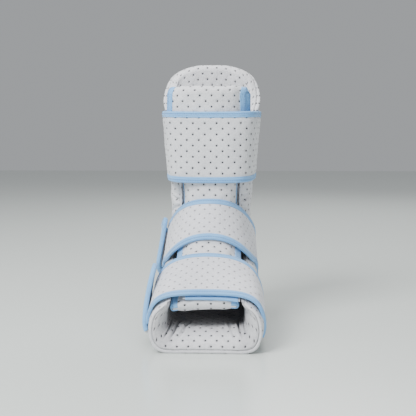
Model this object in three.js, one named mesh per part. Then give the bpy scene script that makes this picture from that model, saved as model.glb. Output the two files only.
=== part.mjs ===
import * as THREE from 'three'

// A soft padded walking boot with an open toe and an open front, in millimetres.
// The toe points to -Y, the leg stands up along +Z, and X runs across the foot.
// The origin is the middle of the flat sole.

// Overall sizes of the padded shell
const footLength = 255
const bootHeight = 355
const toeWidth = 134
const heelWidth = 124
const ankleWidth = 112
const calfWidth = 137
const heelRadius = 55
const toeSideHeight = 60
const ankleSideHeight = 100
const legDepth = 77
const bendRadius = 28
const topCornerDrop = 88

// Thicknesses of the padding
const solePadding = 26
const backPadding = 18
const toeSidePadding = 21
const legSidePadding = 17
const coverThickness = 5
const mouthRoll = 30
const rimRoll = 9
const mouthCorner = 7

// Pads on the leg and the instep
const shinPadWidth = 100
const ankleWidthOfPads = 78
const toePadWidth = 76
const padThickness = 9
const padEndThickness = 14
const foldedLength = 42
const foldGap = 3.2
const padEdge = 1.6
const edgePinch = 0.88

// Straps, tabs and their bindings
const strapThickness = 2.8
const liningThickness = 1.5
const tapeThickness = 0.7
const tapeWidth = 6.5
const clearance = 0.3
const strapEase = 0.5
const liningAhead = 6
const liningDepthShare = 0.22
const tabCorner = 12
const cornerDegrees = [0, 30, 60, 90]
const tabStraights = [0, 0.05, 0.14, 0.3, 0.46, 0.62, 0.78, 0.9]

const toeY = -footLength / 2
const heelY = footLength / 2
const wingY = heelY - legDepth
const tapeStack = 2 * clearance + tapeThickness
const strapLift = tapeStack + strapEase
const liningLift = tapeStack
const overLining = liningLift + liningThickness + tapeThickness + 2 * clearance + tapeStack - clearance
const overStrap = strapLift + strapThickness + 2 * tapeStack

// The body's sections, from the toe (0) along the sole to the heel curve (1), round it (2) and up to the top (3).
// edge: where the section's free edge lies, 0-1 along the foot's side, 1-2 round the bend, 2-3 up the wing.
// curl: the free edge's distance from the middle, as a share of the half width.
const sections = [
  { at: 0.0, edge: 0.0, half: 0.5 * toeWidth, curl: 0.62, base: solePadding, side: toeSidePadding },
  { at: 0.4, edge: 0.533, half: 0.5 * toeWidth, curl: 0.66, base: solePadding, side: toeSidePadding },
  { at: 0.75, edge: 1.0, half: 0.485 * toeWidth, curl: 0.7, base: solePadding, side: toeSidePadding },
  { at: 1.0, edge: 1.22, half: 0.5 * heelWidth, curl: 0.73, base: solePadding, side: legSidePadding },
  { at: 1.5, edge: 1.5, half: 0.5 * heelWidth, curl: 0.74, base: solePadding, side: legSidePadding },
  { at: 2.0, edge: 1.78, half: 0.495 * heelWidth, curl: 0.74, base: backPadding, side: legSidePadding },
  { at: 2.243, edge: 2.0, half: 0.508 * ankleWidth, curl: 0.72, base: backPadding, side: legSidePadding },
  { at: 2.37, edge: 2.168, half: 0.5 * ankleWidth, curl: 0.71, base: backPadding, side: legSidePadding },
  { at: 2.45, edge: 2.273, half: 0.42 * calfWidth, curl: 0.7, base: backPadding, side: legSidePadding },
  { at: 2.62, edge: 2.498, half: 0.448 * calfWidth, curl: 0.71, base: backPadding, side: legSidePadding },
  { at: 2.77, edge: 2.696, half: 0.475 * calfWidth, curl: 0.72, base: backPadding, side: legSidePadding },
  { at: 2.84, edge: 2.789, half: 0.5 * calfWidth, curl: 0.72, base: backPadding, side: legSidePadding },
  { at: 3.0, edge: 3.0, half: 0.5 * calfWidth, curl: 0.72, base: backPadding, side: legSidePadding },
]

// One half of a section, from the middle of the base (0) to the free edge (1).
// outX and inX are shares of the outer and inner half widths, outH and inH of the height, and
// outCurl and inCurl say how far the wall has turned in towards the free edge.
const contour = [
  { at: 0.0, outX: 0.0, outH: 0.0, outCurl: 0.0, inX: 0.0, inH: 0.0, inCurl: 0.0 },
  { at: 0.18, outX: 0.36, outH: 0.0, outCurl: 0.0, inX: 0.42, inH: 0.0, inCurl: 0.0 },
  { at: 0.33, outX: 0.69, outH: 0.0, outCurl: 0.0, inX: 0.8, inH: 0.02, inCurl: 0.0 },
  { at: 0.45, outX: 0.88, outH: 0.07, outCurl: 0.0, inX: 0.95, inH: 0.08, inCurl: 0.0 },
  { at: 0.56, outX: 0.975, outH: 0.25, outCurl: 0.0, inX: 1.0, inH: 0.2, inCurl: 0.0 },
  { at: 0.68, outX: 1.0, outH: 0.48, outCurl: 0.0, inX: 1.0, inH: 0.38, inCurl: 0.05 },
  { at: 0.8, outX: 1.0, outH: 0.72, outCurl: 0.12, inX: 1.0, inH: 0.6, inCurl: 0.25 },
  { at: 0.9, outX: 1.0, outH: 0.88, outCurl: 0.42, inX: 1.0, inH: 0.78, inCurl: 0.62 },
  { at: 0.97, outX: 1.0, outH: 0.975, outCurl: 0.82, inX: 1.0, inH: 0.92, inCurl: 0.92 },
  { at: 1.0, outX: 1.0, outH: 1.0, outCurl: 1.0, inX: 1.0, inH: 1.0, inCurl: 1.0 },
]

// The top of the leg: how far the rim has dropped at each place across the section
const topOutline = [
  { at: 0.0, drop: 0.0 },
  { at: 0.18, drop: 0.012 },
  { at: 0.33, drop: 0.09 },
  { at: 0.45, drop: 0.21 },
  { at: 0.56, drop: 0.4 },
  { at: 0.68, drop: 0.61 },
  { at: 0.8, drop: 0.79 },
  { at: 1.0, drop: 1.0 },
]

// The pads' outer face seen from the side: ahead is the share of the foot length from the heel to the toe,
// up the share of the boot's height.
const instepLine = [
  { at: 0.0, ahead: 0.955, up: 0.168 },
  { at: 0.12, ahead: 0.872, up: 0.195 },
  { at: 0.24, ahead: 0.8, up: 0.227 },
  { at: 0.42, ahead: 0.663, up: 0.292 },
  { at: 0.52, ahead: 0.587, up: 0.333 },
  { at: 0.62, ahead: 0.502, up: 0.4 },
  { at: 0.68, ahead: 0.47, up: 0.452 },
  { at: 0.75, ahead: 0.447, up: 0.522 },
  { at: 0.86, ahead: 0.435, up: 0.68 },
  { at: 1.0, ahead: 0.43, up: 0.872 },
]

// Widths of the pads and how far their sides fall back, along the same line
const instepShape = [
  { at: 0.0, half: 0.5 * toePadWidth, fall: 0.05 },
  { at: 0.24, half: 0.5 * toePadWidth, fall: 0.1 },
  { at: 0.42, half: 0.5 * ankleWidthOfPads, fall: 0.36 },
  { at: 0.56, half: 0.5 * ankleWidthOfPads, fall: 0.5 },
  { at: 0.68, half: 0.5 * ankleWidthOfPads, fall: 0.5 },
  { at: 0.8, half: 0.42 * shinPadWidth, fall: 0.4 },
]
const shinShape = [
  { at: 0.56, half: 0.49 * ankleWidthOfPads, fall: 0.7 },
  { at: 0.68, half: 0.47 * ankleWidthOfPads, fall: 0.92 },
  { at: 0.77, half: 0.38 * shinPadWidth, fall: 0.62 },
  { at: 0.88, half: 0.5 * shinPadWidth, fall: 0.34 },
  { at: 1.0, half: 0.5 * shinPadWidth, fall: 0.27 },
]

// Straps: the run of each edge over one side wall, from the shoulder (0) to the sewn end (1),
// in the body's own places: section along the body and place across it.
const calfStrapRun = [
  { at: 0.0, lowerAt: 2.467, lowerAcross: 0.75, upperAt: 2.772, upperAcross: 0.75 },
  { at: 0.4, lowerAt: 2.467, lowerAcross: 0.64, upperAt: 2.772, upperAcross: 0.64 },
  { at: 1.0, lowerAt: 2.467, lowerAcross: 0.47, upperAt: 2.772, upperAcross: 0.47 },
]
const ankleStrapRun = [
  { at: 0.0, lowerAt: 0.7, lowerAcross: 0.9, upperAt: 2.28, upperAcross: 0.88 },
  { at: 0.4, lowerAt: 0.86, lowerAcross: 0.81, upperAt: 2.24, upperAcross: 0.77 },
  { at: 1.0, lowerAt: 1.28, lowerAcross: 0.68, upperAt: 2.17, upperAcross: 0.62 },
]
const footStrapRun = [
  { at: 0.0, lowerAt: 0.07, lowerAcross: 0.78, upperAt: 0.47, upperAcross: 0.79 },
  { at: 0.4, lowerAt: 0.1, lowerAcross: 0.67, upperAt: 0.49, upperAcross: 0.67 },
  { at: 1.0, lowerAt: 0.14, lowerAcross: 0.52, upperAt: 0.52, upperAcross: 0.49 },
]

// Where each strap crosses the instep line, how high its edges stand over the pads, how far it runs on
// straight from the crown and from the shoulder of the wall (wrap), and how far down its left end comes
const straps = {
  calf: {
    run: calfStrapRun, lower: 0.766, upper: 0.948, lowerLift: 0.4, upperLift: 0.4,
    crown: 0.92, wrap: 0.9, leftEnd: 1.0,
  },
  ankle: {
    run: ankleStrapRun, lower: 0.53, upper: 0.705, lowerLift: 0.4, upperLift: 0.6,
    crown: 0.64, wrap: 0.44, leftEnd: 0.4,
  },
  foot: {
    run: footStrapRun, lower: 0.025, upper: 0.41, lowerLift: overLining, upperLift: 0.4,
    crown: 0.68, wrap: 0.4, leftEnd: 0.4,
  },
}

// Tabs on the left wall, from the sewn foot (0) to the free end (1), by their front (lower) and rear (upper) edges.
// Y is the share of the foot's length from the heel, Z of the boot's height, X of half the toe's width.
const ankleTabRun = [
  { at: 0.0, lowerY: 0.155, lowerZ: 0.13, lowerX: 0.939, upperY: 0.0765, upperZ: 0.3155, upperX: 0.894 },
  { at: 0.4, lowerY: 0.227, lowerZ: 0.16, lowerX: 0.985, upperY: 0.149, upperZ: 0.349, upperX: 0.993 },
  { at: 0.6, lowerY: 0.263, lowerZ: 0.175, lowerX: 1.03, upperY: 0.185, upperZ: 0.366, upperX: 0.985 },
  { at: 1.0, lowerY: 0.335, lowerZ: 0.2056, lowerX: 1.07, upperY: 0.257, upperZ: 0.4, upperX: 0.9 },
]
const footTabRun = [
  { at: 0.0, lowerY: 0.88, lowerZ: 0.039, lowerX: 0.969, upperY: 0.618, upperZ: 0.039, upperX: 0.94 },
  { at: 0.16, lowerY: 0.8725, lowerZ: 0.062, lowerX: 1.08, upperY: 0.618, upperZ: 0.064, upperX: 1.08 },
  { at: 0.5, lowerY: 0.845, lowerZ: 0.127, lowerX: 1.085, upperY: 0.6255, upperZ: 0.13, upperX: 1.101 },
  { at: 0.75, lowerY: 0.81, lowerZ: 0.1915, lowerX: 1.035, upperY: 0.633, upperZ: 0.197, upperX: 1.06 },
  { at: 1.0, lowerY: 0.7745, lowerZ: 0.2535, lowerX: 0.965, upperY: 0.641, upperZ: 0.259, upperX: 0.98 },
]

const clothGrey = new THREE.MeshStandardMaterial({ color: 0xd8d9dc, roughness: 0.9, metalness: 0 })
const liningGrey = new THREE.MeshStandardMaterial({ color: 0xdcdcde, roughness: 0.92, metalness: 0 })
const tapeBlue = new THREE.MeshStandardMaterial({ color: 0xa9cbe6, roughness: 0.7, metalness: 0 })

const lerp = THREE.MathUtils.lerp
const clamp = THREE.MathUtils.clamp

// A smooth value between the rows of a table: a cubic whose slope at each row is that of its neighbours
function tableValue(table, key, at) {
  let row = 0
  while (row < table.length - 2 && at > table[row + 1].at) row += 1
  const a = table[row]
  const b = table[row + 1]
  const width = b.at - a.at
  const share = clamp((at - a.at) / width, 0, 1)
  const before = table[Math.max(0, row - 1)]
  const after = table[Math.min(table.length - 1, row + 2)]
  const slopeA = ((b[key] - before[key]) / (b.at - before.at)) * width
  const slopeB = ((after[key] - a[key]) / (after.at - a.at)) * width
  const s2 = share * share
  const s3 = s2 * share
  return (2 * s3 - 3 * s2 + 1) * a[key] + (s3 - 2 * s2 + share) * slopeA
    + (3 * s2 - 2 * s3) * b[key] + (s3 - s2) * slopeB
}

// Height of a quarter round at a distance from its edge, from 0 at the edge to 1 at its radius
function rounded(distance, radius) {
  const inside = clamp(1 - distance / radius, 0, 1)
  return Math.sqrt(1 - inside * inside)
}

// The outer line of the sole, heel and back in the side view, with its inward direction
function basePoint(at) {
  const heelStart = heelY - heelRadius
  if (at <= 1) return { y: lerp(toeY, heelStart, at), z: 0, inY: 0, inZ: 1 }
  if (at >= 2) return { y: heelY, z: lerp(heelRadius, bootHeight, at - 2), inY: -1, inZ: 0 }
  const angle = (at - 1) * Math.PI / 2
  const sin = Math.sin(angle)
  const cos = Math.cos(angle)
  return { y: heelStart + heelRadius * sin, z: heelRadius * (1 - cos), inY: -sin, inZ: cos }
}

// The free edge of the side walls in the side view, with the direction back into the wall
function edgePoint(at) {
  const bendStart = wingY - bendRadius
  if (at <= 1) {
    return { y: lerp(toeY, bendStart, at), z: lerp(toeSideHeight, ankleSideHeight, at), inY: 0, inZ: -1 }
  }
  const bendTop = ankleSideHeight + bendRadius
  if (at >= 2) return { y: wingY, z: lerp(bendTop, bootHeight, at - 2), inY: 1, inZ: 0 }
  const angle = (at - 1) * Math.PI / 2
  const sin = Math.sin(angle)
  const cos = Math.cos(angle)
  return { y: bendStart + bendRadius * sin, z: bendTop - bendRadius * cos, inY: sin, inZ: -cos }
}

// A place in the side view: a curve that leaves the base squarely and meets the free edge squarely
function sidePoint(at, height) {
  const base = basePoint(at)
  const edge = edgePoint(tableValue(sections, 'edge', at))
  const reach = Math.hypot(edge.y - base.y, edge.z - base.z) / 3
  const t = height
  const u = 1 - t
  const w0 = u * u * u
  const w1 = 3 * u * u * t
  const w2 = 3 * u * t * t
  const w3 = t * t * t
  return {
    y: w0 * base.y + w1 * (base.y + base.inY * reach) + w2 * (edge.y + edge.inY * reach) + w3 * edge.y,
    z: w0 * base.z + w1 * (base.z + base.inZ * reach) + w2 * (edge.z + edge.inZ * reach) + w3 * edge.z,
    length: 3 * reach,
  }
}

// A point of the padded body: depth 0 is its outer skin and 1 its inner skin
function bodyPoint(at, across, depth) {
  const half = tableValue(sections, 'half', at)
  const curlX = half * tableValue(sections, 'curl', at)
  const innerHalf = half - tableValue(sections, 'side', at)
  const length = sidePoint(at, 1).length
  const baseShare = tableValue(sections, 'base', at) / length
  const c = Math.abs(across)
  const outX = half * tableValue(contour, 'outX', c) + (curlX - half) * tableValue(contour, 'outCurl', c)
  const inX = innerHalf * tableValue(contour, 'inX', c) + (curlX - innerHalf) * tableValue(contour, 'inCurl', c)
  const outH = tableValue(contour, 'outH', c)
  const inH = baseShare + (1 - baseShare) * tableValue(contour, 'inH', c)
  const thickness = Math.hypot(outX - inX, (outH - inH) * length)
  const share = typeof depth === 'function' ? depth(thickness) : depth
  const place = sidePoint(at, Math.max(0, lerp(outH, inH, share)))
  return new THREE.Vector3(Math.sign(across) * lerp(outX, inX, share), place.y, place.z)
}

// Outward direction of a surface given as a function of two shares
function surfaceNormal(surface, a, b, outward) {
  const step = 0.004
  const da = surface(a + step, b).sub(surface(a - step, b))
  const db = surface(a, b + step).sub(surface(a, b - step))
  const normal = da.cross(db).normalize()
  return normal.dot(outward) < 0 ? normal.negate() : normal
}

// A closed mesh from points and triangles, turned so that its faces point outwards
function closedMesh(points, triangles) {
  let volume = 0
  for (const [a, b, c] of triangles) volume += points[a].dot(points[b].clone().cross(points[c]))
  const geometry = new THREE.BufferGeometry()
  geometry.setAttribute('position', new THREE.Float32BufferAttribute(points.flatMap((p) => p.toArray()), 3))
  geometry.setIndex(triangles.flatMap(([a, b, c]) => (volume < 0 ? [a, c, b] : [a, b, c])))
  geometry.computeVertexNormals()
  return geometry
}

// A padded sheet: skins(i, j) gives its two skins over a grid, and they are joined along the grid's border
function quilt(rows, columns, skins) {
  const points = []
  const outer = []
  const inner = []
  for (let i = 0; i < rows; i += 1) {
    outer.push([])
    inner.push([])
    for (let j = 0; j < columns; j += 1) {
      const [top, under] = skins(i, j)
      outer[i].push(points.push(top) - 1)
      const border = i === 0 || j === 0 || i === rows - 1 || j === columns - 1
      inner[i].push(border ? outer[i][j] : points.push(under) - 1)
    }
  }
  const triangles = []
  const addQuad = (a, b, c, d) => {
    for (const triangle of [[a, b, c], [a, c, d]]) {
      if (new Set(triangle).size === 3) triangles.push(triangle)
    }
  }
  for (let i = 0; i < rows - 1; i += 1) {
    for (let j = 0; j < columns - 1; j += 1) {
      addQuad(outer[i][j], outer[i][j + 1], outer[i + 1][j + 1], outer[i + 1][j])
      addQuad(inner[i][j], inner[i + 1][j], inner[i + 1][j + 1], inner[i][j + 1])
    }
  }
  return closedMesh(points, triangles)
}

// A tape folded over a cloth's edge. Each stop gives the edge and a place one tape width inside it, both on the
// cloth's under face, the ways up from the cloth there, the way out of the cloth and the cloth's thickness.
function foldedTape(stops) {
  const reach = clearance + tapeThickness
  const count = 10
  const points = stops.flatMap(({ edge, inside, up, insideUp, out, thickness }) => {
    const atEdge = (side, height) => edge.clone().addScaledVector(out, side).addScaledVector(up, height)
    const within = (height) => inside.clone().addScaledVector(insideUp, height)
    return [
      within(thickness + reach), atEdge(0, thickness + reach), atEdge(reach, thickness), atEdge(reach, 0),
      atEdge(0, -reach), within(-reach), within(-clearance), atEdge(clearance, -clearance),
      atEdge(clearance, thickness + clearance), within(thickness + clearance),
    ]
  })
  const triangles = []
  for (let i = 0; i < stops.length - 1; i += 1) {
    for (let j = 0; j < count; j += 1) {
      const a = i * count + j
      const b = i * count + (j + 1) % count
      triangles.push([a, b, b + count], [a, b + count, a + count])
    }
  }
  const last = (stops.length - 1) * count
  const capQuads = [[0, 1, 8, 9], [1, 2, 3, 8], [3, 4, 7, 8], [4, 5, 6, 7]]
  for (const [a, b, c, d] of capQuads) {
    triangles.push([a, c, b], [a, d, c])
    triangles.push([last + a, last + b, last + c], [last + a, last + c, last + d])
  }
  return closedMesh(points, triangles)
}

// Places where the body's grid is cut: close together at the rolls, wider elsewhere
const soleRun = footLength - heelRadius
const mouthStops = [0, 0.04, 0.16, 0.36, 0.64, 1].map((share) => (share * mouthRoll) / soleRun)
const lengthStops = [...mouthStops, 0.38, 0.6, 0.8, 1, 1.25, 1.5, 1.75, 2, 2.14, 2.26, 2.38, 2.5]
const topStops = [0.2, 0.38, 0.54, 0.7, 0.84, 0.94, 0.985, 1]
const halfStops = [0, 0.14, 0.28, 0.38, 0.47, 0.56, 0.66, 0.78, 0.88, 0.94, 0.97]
const coverStops = [...halfStops.slice(1).map((s) => -s).reverse(), ...halfStops]
const linerStops = [-1, ...coverStops, 1]

// Section place of a grid row, which above the ankle ends at the leg's rounded rim, and the distance to the rim
function rowPlace(row, across) {
  const lastLow = lengthStops.length - 1
  const mouthEnd = mouthStops[mouthStops.length - 1]
  const cornerBack = (mouthCorner / soleRun) * clamp((Math.abs(across) - 0.88) / 0.12, 0, 1) ** 2
  if (row <= lastLow) {
    const at = lengthStops[row]
    return { at: at + cornerBack * clamp(1 - at / mouthEnd, 0, 1), toMouth: at * soleRun, toRim: bootHeight }
  }
  const rimZ = bootHeight - topCornerDrop * tableValue(topOutline, 'drop', Math.abs(across))
  const rim = 2 + (rimZ - heelRadius) / (bootHeight - heelRadius)
  const share = topStops[row - lastLow - 1]
  const at = lerp(lengthStops[lastLow], rim, share)
  return { at, toMouth: footLength, toRim: (rim - at) * (bootHeight - heelRadius) }
}

const bodyRows = lengthStops.length + topStops.length
const coverShare = (thickness) => Math.min(0.45, coverThickness / thickness)

function makeCover() {
  return quilt(bodyRows, coverStops.length, (i, j) => {
    const across = coverStops[j]
    const { at, toMouth, toRim } = rowPlace(i, across)
    const toeRound = rounded(toMouth, coverThickness / 2)
    const edgeRound = rounded(0.97 - Math.abs(across), 0.03)
    const round = toeRound * edgeRound * rounded(toRim, coverThickness / 2)
    const skin = (side) => bodyPoint(at, across, (thickness) => coverShare(thickness) * (0.5 + side * 0.5 * round))
    return [skin(-1), skin(1)]
  })
}

function makeLiner() {
  return quilt(bodyRows, linerStops.length, (i, j) => {
    const across = linerStops[j]
    const { at, toMouth, toRim } = rowPlace(i, across)
    const round = rounded(toMouth, mouthRoll) * rounded(toRim, rimRoll)
    const skin = (reach) => bodyPoint(at, across, (thickness) => {
      if (thickness < 1) return 0.5
      const start = Math.min(0.6, coverShare(thickness) + (2 * clearance) / thickness)
      return lerp(start, 1, reach)
    })
    return [skin(0), skin(round)]
  })
}

// The pads' outer face in the side view, with its outward direction
function padLine(at) {
  const place = (a) => ({
    y: heelY - footLength * tableValue(instepLine, 'ahead', a),
    z: bootHeight * tableValue(instepLine, 'up', a),
  })
  const step = 0.004
  const p = place(at)
  const ahead = place(Math.min(1, at + step))
  const behind = place(Math.max(0, at - step))
  const run = Math.hypot(ahead.y - behind.y, ahead.z - behind.z)
  return { y: p.y, z: p.z, outY: -(ahead.z - behind.z) / run, outZ: (ahead.y - behind.y) / run }
}

// Places across a pad of the given half width: its edges, the inner lines of its tapes and its middle
function padColumns(half) {
  const positive = [0.27, 0.55, 1 - tapeWidth / half, 1 - padEdge / half, 1]
  return [...positive.map((side) => -side).reverse(), 0, ...positive]
}
const padColumnCount = 11

// A pad's stop along its line: how wide and thick it is there and how far its sides fall back
function padStop(shape, at, thickness, round) {
  const half = tableValue(shape, 'half', at)
  return { line: padLine(at), half, fall: half * tableValue(shape, 'fall', at), thickness, round }
}

// A point of a pad: side from -1 to 1 across it, height from 0 on its under face up to its thickness
function padPoint({ line, half, fall, thickness, shift = 0 }, side, height) {
  const back = fall * Math.abs(side) ** 2.4
  const rise = height - thickness - back * (1 - shift)
  return new THREE.Vector3(side * half, line.y + line.outY * rise + back * shift, line.z + line.outZ * rise)
}

function makePad(stops) {
  return quilt(stops.length, padColumnCount, (i, j) => {
    const stop = stops[i]
    const middle = stop.thickness / 2
    const side = padColumns(stop.half)[j]
    const pinch = Math.abs(side) < 1 - (tapeWidth + padEdge) / stop.half ? 1 : edgePinch
    const round = Math.abs(side) < 1 ? stop.round * pinch : 0
    return [padPoint(stop, side, middle * (1 + round)), padPoint(stop, side, middle * (1 - round))]
  })
}

function makePadTape(stops, sideSign) {
  return foldedTape(stops.filter((stop) => stop.round > 0.9).map((stop) => {
    const up = new THREE.Vector3(0, stop.line.outY, stop.line.outZ)
    return {
      edge: padPoint(stop, sideSign, 0),
      inside: padPoint(stop, sideSign * (1 - tapeWidth / stop.half), 0),
      up,
      insideUp: up,
      out: new THREE.Vector3(sideSign, 0, 0),
      thickness: stop.thickness,
    }
  }))
}

// The instep pad, from its thick end in the toe mouth to the ankle
const instepEnd = 0.6
const instepStops = [0, 0.012, 0.04, 0.12, 0.22, 0.36, 0.5, 0.64, 0.78, 0.9, 0.98, 1].map((share) => padStop(
  instepShape,
  instepEnd * share,
  lerp(padEndThickness, padThickness, clamp(share / 0.22, 0, 1)),
  Math.min(rounded(share, 0.04), rounded(1 - share, 0.02)),
))

// The shin pad: up the front of the leg, round the fold at its top and a little way down behind
function shinPadStops() {
  const start = 0.64
  const front = [0, 0.03, 0.14, 0.26, 0.38, 0.5, 0.62, 0.75, 0.88, 1].map((share) => ({
    ...padStop(shinShape, lerp(start, 1, share), padThickness, rounded(share, 0.03)),
    shift: clamp((share - 0.48) / 0.34, 0, 1),
  }))
  const top = front[front.length - 1]
  const radius = padThickness + foldGap / 2
  const fold = [36, 72, 108, 144, 180].map((degrees) => {
    const angle = THREE.MathUtils.degToRad(degrees)
    const y = top.line.y + radius * (1 - Math.cos(angle))
    const z = top.line.z + radius * Math.sin(angle)
    return { ...top, line: { y, z, outY: -Math.cos(angle), outZ: Math.sin(angle) } }
  })
  const behind = [0.5, 0.97, 1].map((share) => {
    const line = { y: top.line.y + 2 * radius, z: top.line.z - share * foldedLength, outY: 1, outZ: 0 }
    return { ...top, line, round: rounded(1 - share, 0.03) }
  })
  return [...front, ...fold, ...behind]
}
const shinStops = shinPadStops()

// A place on a side wall, lifted off the cover: sideSign chooses the wall
function wallPoint(at, across, lift, sideSign) {
  const surface = (a, c) => bodyPoint(a, c, 0)
  const normal = surfaceNormal(surface, at, across, new THREE.Vector3(1, 0, 0.2))
  const point = surface(at, across).addScaledVector(normal, lift)
  point.x *= sideSign
  return point
}

// The under face of a strap along one of its edges: reach runs from 0 at the middle of the front over the
// shoulder of the wall at 0.5 to the end of the strap at 1
function strapEdge(strap, edge, reach) {
  const sideSign = Math.sign(reach) || 1
  const end = sideSign < 0 ? strap.leftEnd : 1
  const wall = (along) => wallPoint(
    tableValue(strap.run, `${edge}At`, along),
    tableValue(strap.run, `${edge}Across`, along),
    strapLift,
    sideSign,
  )
  const share = Math.abs(reach) * 2
  if (share > 1) return wall((share - 1) * end)
  const line = padLine(strap[edge])
  const lift = strapLift + strap[`${edge}Lift`]
  const crown = new THREE.Vector3(0, line.y + line.outY * lift, line.z + line.outZ * lift)
  const shoulder = wall(0)
  const tangent = shoulder.clone().sub(wall(0.1)).normalize()
  const span = Math.abs(shoulder.x)
  return new THREE.CubicBezierCurve3(
    crown,
    crown.clone().add(new THREE.Vector3(sideSign * span * strap.crown, 0, 0)),
    shoulder.clone().addScaledVector(tangent, span * strap.wrap),
    shoulder,
  ).getPoint(share)
}

// A band between two edges: straight across its width, with its outward direction
function bandFrame(edgeAt, reach, across) {
  const place = (r) => edgeAt('lower', r).lerp(edgeAt('upper', r), across)
  const step = 0.01
  const tangent = place(reach + step).sub(place(reach - step)).normalize()
  const crossing = edgeAt('upper', reach).sub(edgeAt('lower', reach))
  const width = crossing.length()
  crossing.normalize()
  const up = new THREE.Vector3().crossVectors(tangent, crossing).normalize()
  return { point: place(reach), crossing, up, width }
}

function makeBand(edgeAt, reaches, thickness) {
  return quilt(reaches.length, bandColumns.length, (i, j) => {
    const column = bandColumns[j]
    const width = bandFrame(edgeAt, reaches[i], 0.5).width
    const across = column.share + column.inset / width
    const { point, up } = bandFrame(edgeAt, reaches[i], across)
    const round = i === 0 || i === reaches.length - 1 || column.edge ? 0 : 1
    const skin = (side) => point.clone().addScaledVector(up, thickness * (0.5 + 0.5 * side * round))
    return [skin(1), skin(-1)]
  })
}

function makeBandTape(edgeAt, reaches, thickness, edge) {
  return foldedTape(reaches.map((reach) => {
    const { width } = bandFrame(edgeAt, reach, 0.5)
    const across = edge === 'lower' ? 0 : 1
    const insideAcross = edge === 'lower' ? tapeWidth / width : 1 - tapeWidth / width
    const atEdge = bandFrame(edgeAt, reach, across)
    const within = bandFrame(edgeAt, reach, insideAcross)
    return {
      edge: atEdge.point,
      inside: within.point,
      up: atEdge.up,
      insideUp: within.up,
      out: atEdge.crossing.multiplyScalar(edge === 'lower' ? -1 : 1),
      thickness,
    }
  }))
}

const bandColumns = [
  { share: 0, inset: 0, edge: true },
  { share: 0, inset: padEdge, edge: false },
  { share: 0, inset: tapeWidth, edge: false },
  { share: 1, inset: -tapeWidth, edge: false },
  { share: 1, inset: -padEdge, edge: false },
  { share: 1, inset: 0, edge: true },
]
const strapReaches = [0.98, 0.86, 0.73, 0.61, 0.5, 0.42, 0.33, 0.22, 0.1]
const reachesBothWays = [...strapReaches.map((reach) => -reach), 0, ...strapReaches.slice().reverse()]
const liningReaches = [-0.12, -0.1, 0, 0.08, 0.14, 0.185, 0.2]

// The lining under the front edge of the foot strap, a little ahead of it
function liningEdge(edge, reach) {
  const lower = strapEdge(straps.foot, 'lower', reach)
  const upper = strapEdge(straps.foot, 'upper', reach)
  const { up } = bandFrame((e, r) => strapEdge(straps.foot, e, r), reach, 0)
  const ahead = liningAhead * (0.4 + reach)
  const share = edge === 'lower' ? -ahead / lower.distanceTo(upper) : liningDepthShare
  return lower.lerp(upper, share).addScaledVector(up, -overLining)
}

// A place on a tab's under face: along from its sewn foot (0) to its free end (1), across from front to rear
function tabPlace(run, along, across) {
  const corner = (edge) => new THREE.Vector3(
    -toeWidth / 2 * tableValue(run, `${edge}X`, along),
    heelY - footLength * tableValue(run, `${edge}Y`, along),
    bootHeight * tableValue(run, `${edge}Z`, along),
  )
  return corner('lower').lerp(corner('upper'), across)
}

// A tab's measures, and its frame at a place: the ways along it and across it, and the way up off its outer face
function tabMeasures(run) {
  return {
    length: tabPlace(run, 0, 0.5).distanceTo(tabPlace(run, 1, 0.5)),
    width: tabPlace(run, 1, 0).distanceTo(tabPlace(run, 1, 1)),
  }
}
function tabFrame(run, along, across) {
  const step = 0.01
  const forth = tabPlace(run, along + step, across).sub(tabPlace(run, along - step, across)).normalize()
  const sideways = tabPlace(run, along, 1).sub(tabPlace(run, along, 0)).normalize()
  const up = new THREE.Vector3().crossVectors(forth, sideways).normalize()
  if (up.x > 0) up.negate()
  return { point: tabPlace(run, along, across), forth, sideways, up }
}

// The rows of a tab from its foot to its free end, with the angle round its corners and the corner's inset there
function tabRows(run) {
  const { length, width } = tabMeasures(run)
  const bend = tabCorner / length
  const straight = tabStraights.map((share) => ({ along: share * (1 - bend), angle: 0, inset: 0 }))
  const corner = cornerDegrees.map((degrees) => {
    const angle = THREE.MathUtils.degToRad(degrees)
    return { along: 1 - bend * (1 - Math.sin(angle)), angle, inset: (tabCorner / width) * (1 - Math.cos(angle)) }
  })
  return [...straight, ...corner]
}

// Places across a tab at one of its rows, from its front edge to its rear edge
function tabColumns(row, width) {
  const edge = padEdge / width
  const tape = tapeWidth / width
  const middle = [0.3, 0.7].map((share) => lerp(row.inset + tape, 1 - row.inset - tape, share))
  return [0, edge, tape].map((inset) => row.inset + inset)
    .concat(middle, [tape, edge, 0].map((inset) => 1 - row.inset - inset))
}

function makeTab(run) {
  const rows = tabRows(run)
  const { width } = tabMeasures(run)
  return quilt(rows.length, tabColumns(rows[0], width).length, (i, j) => {
    const columns = tabColumns(rows[i], width)
    const { point, up } = tabFrame(run, rows[i].along, columns[j])
    const border = i === 0 || i === rows.length - 1 || j === 0 || j === columns.length - 1
    const skin = (side) => point.clone().addScaledVector(up, strapThickness * (0.5 + 0.5 * side * (border ? 0 : 1)))
    return [skin(1), skin(-1)]
  })
}

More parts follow.
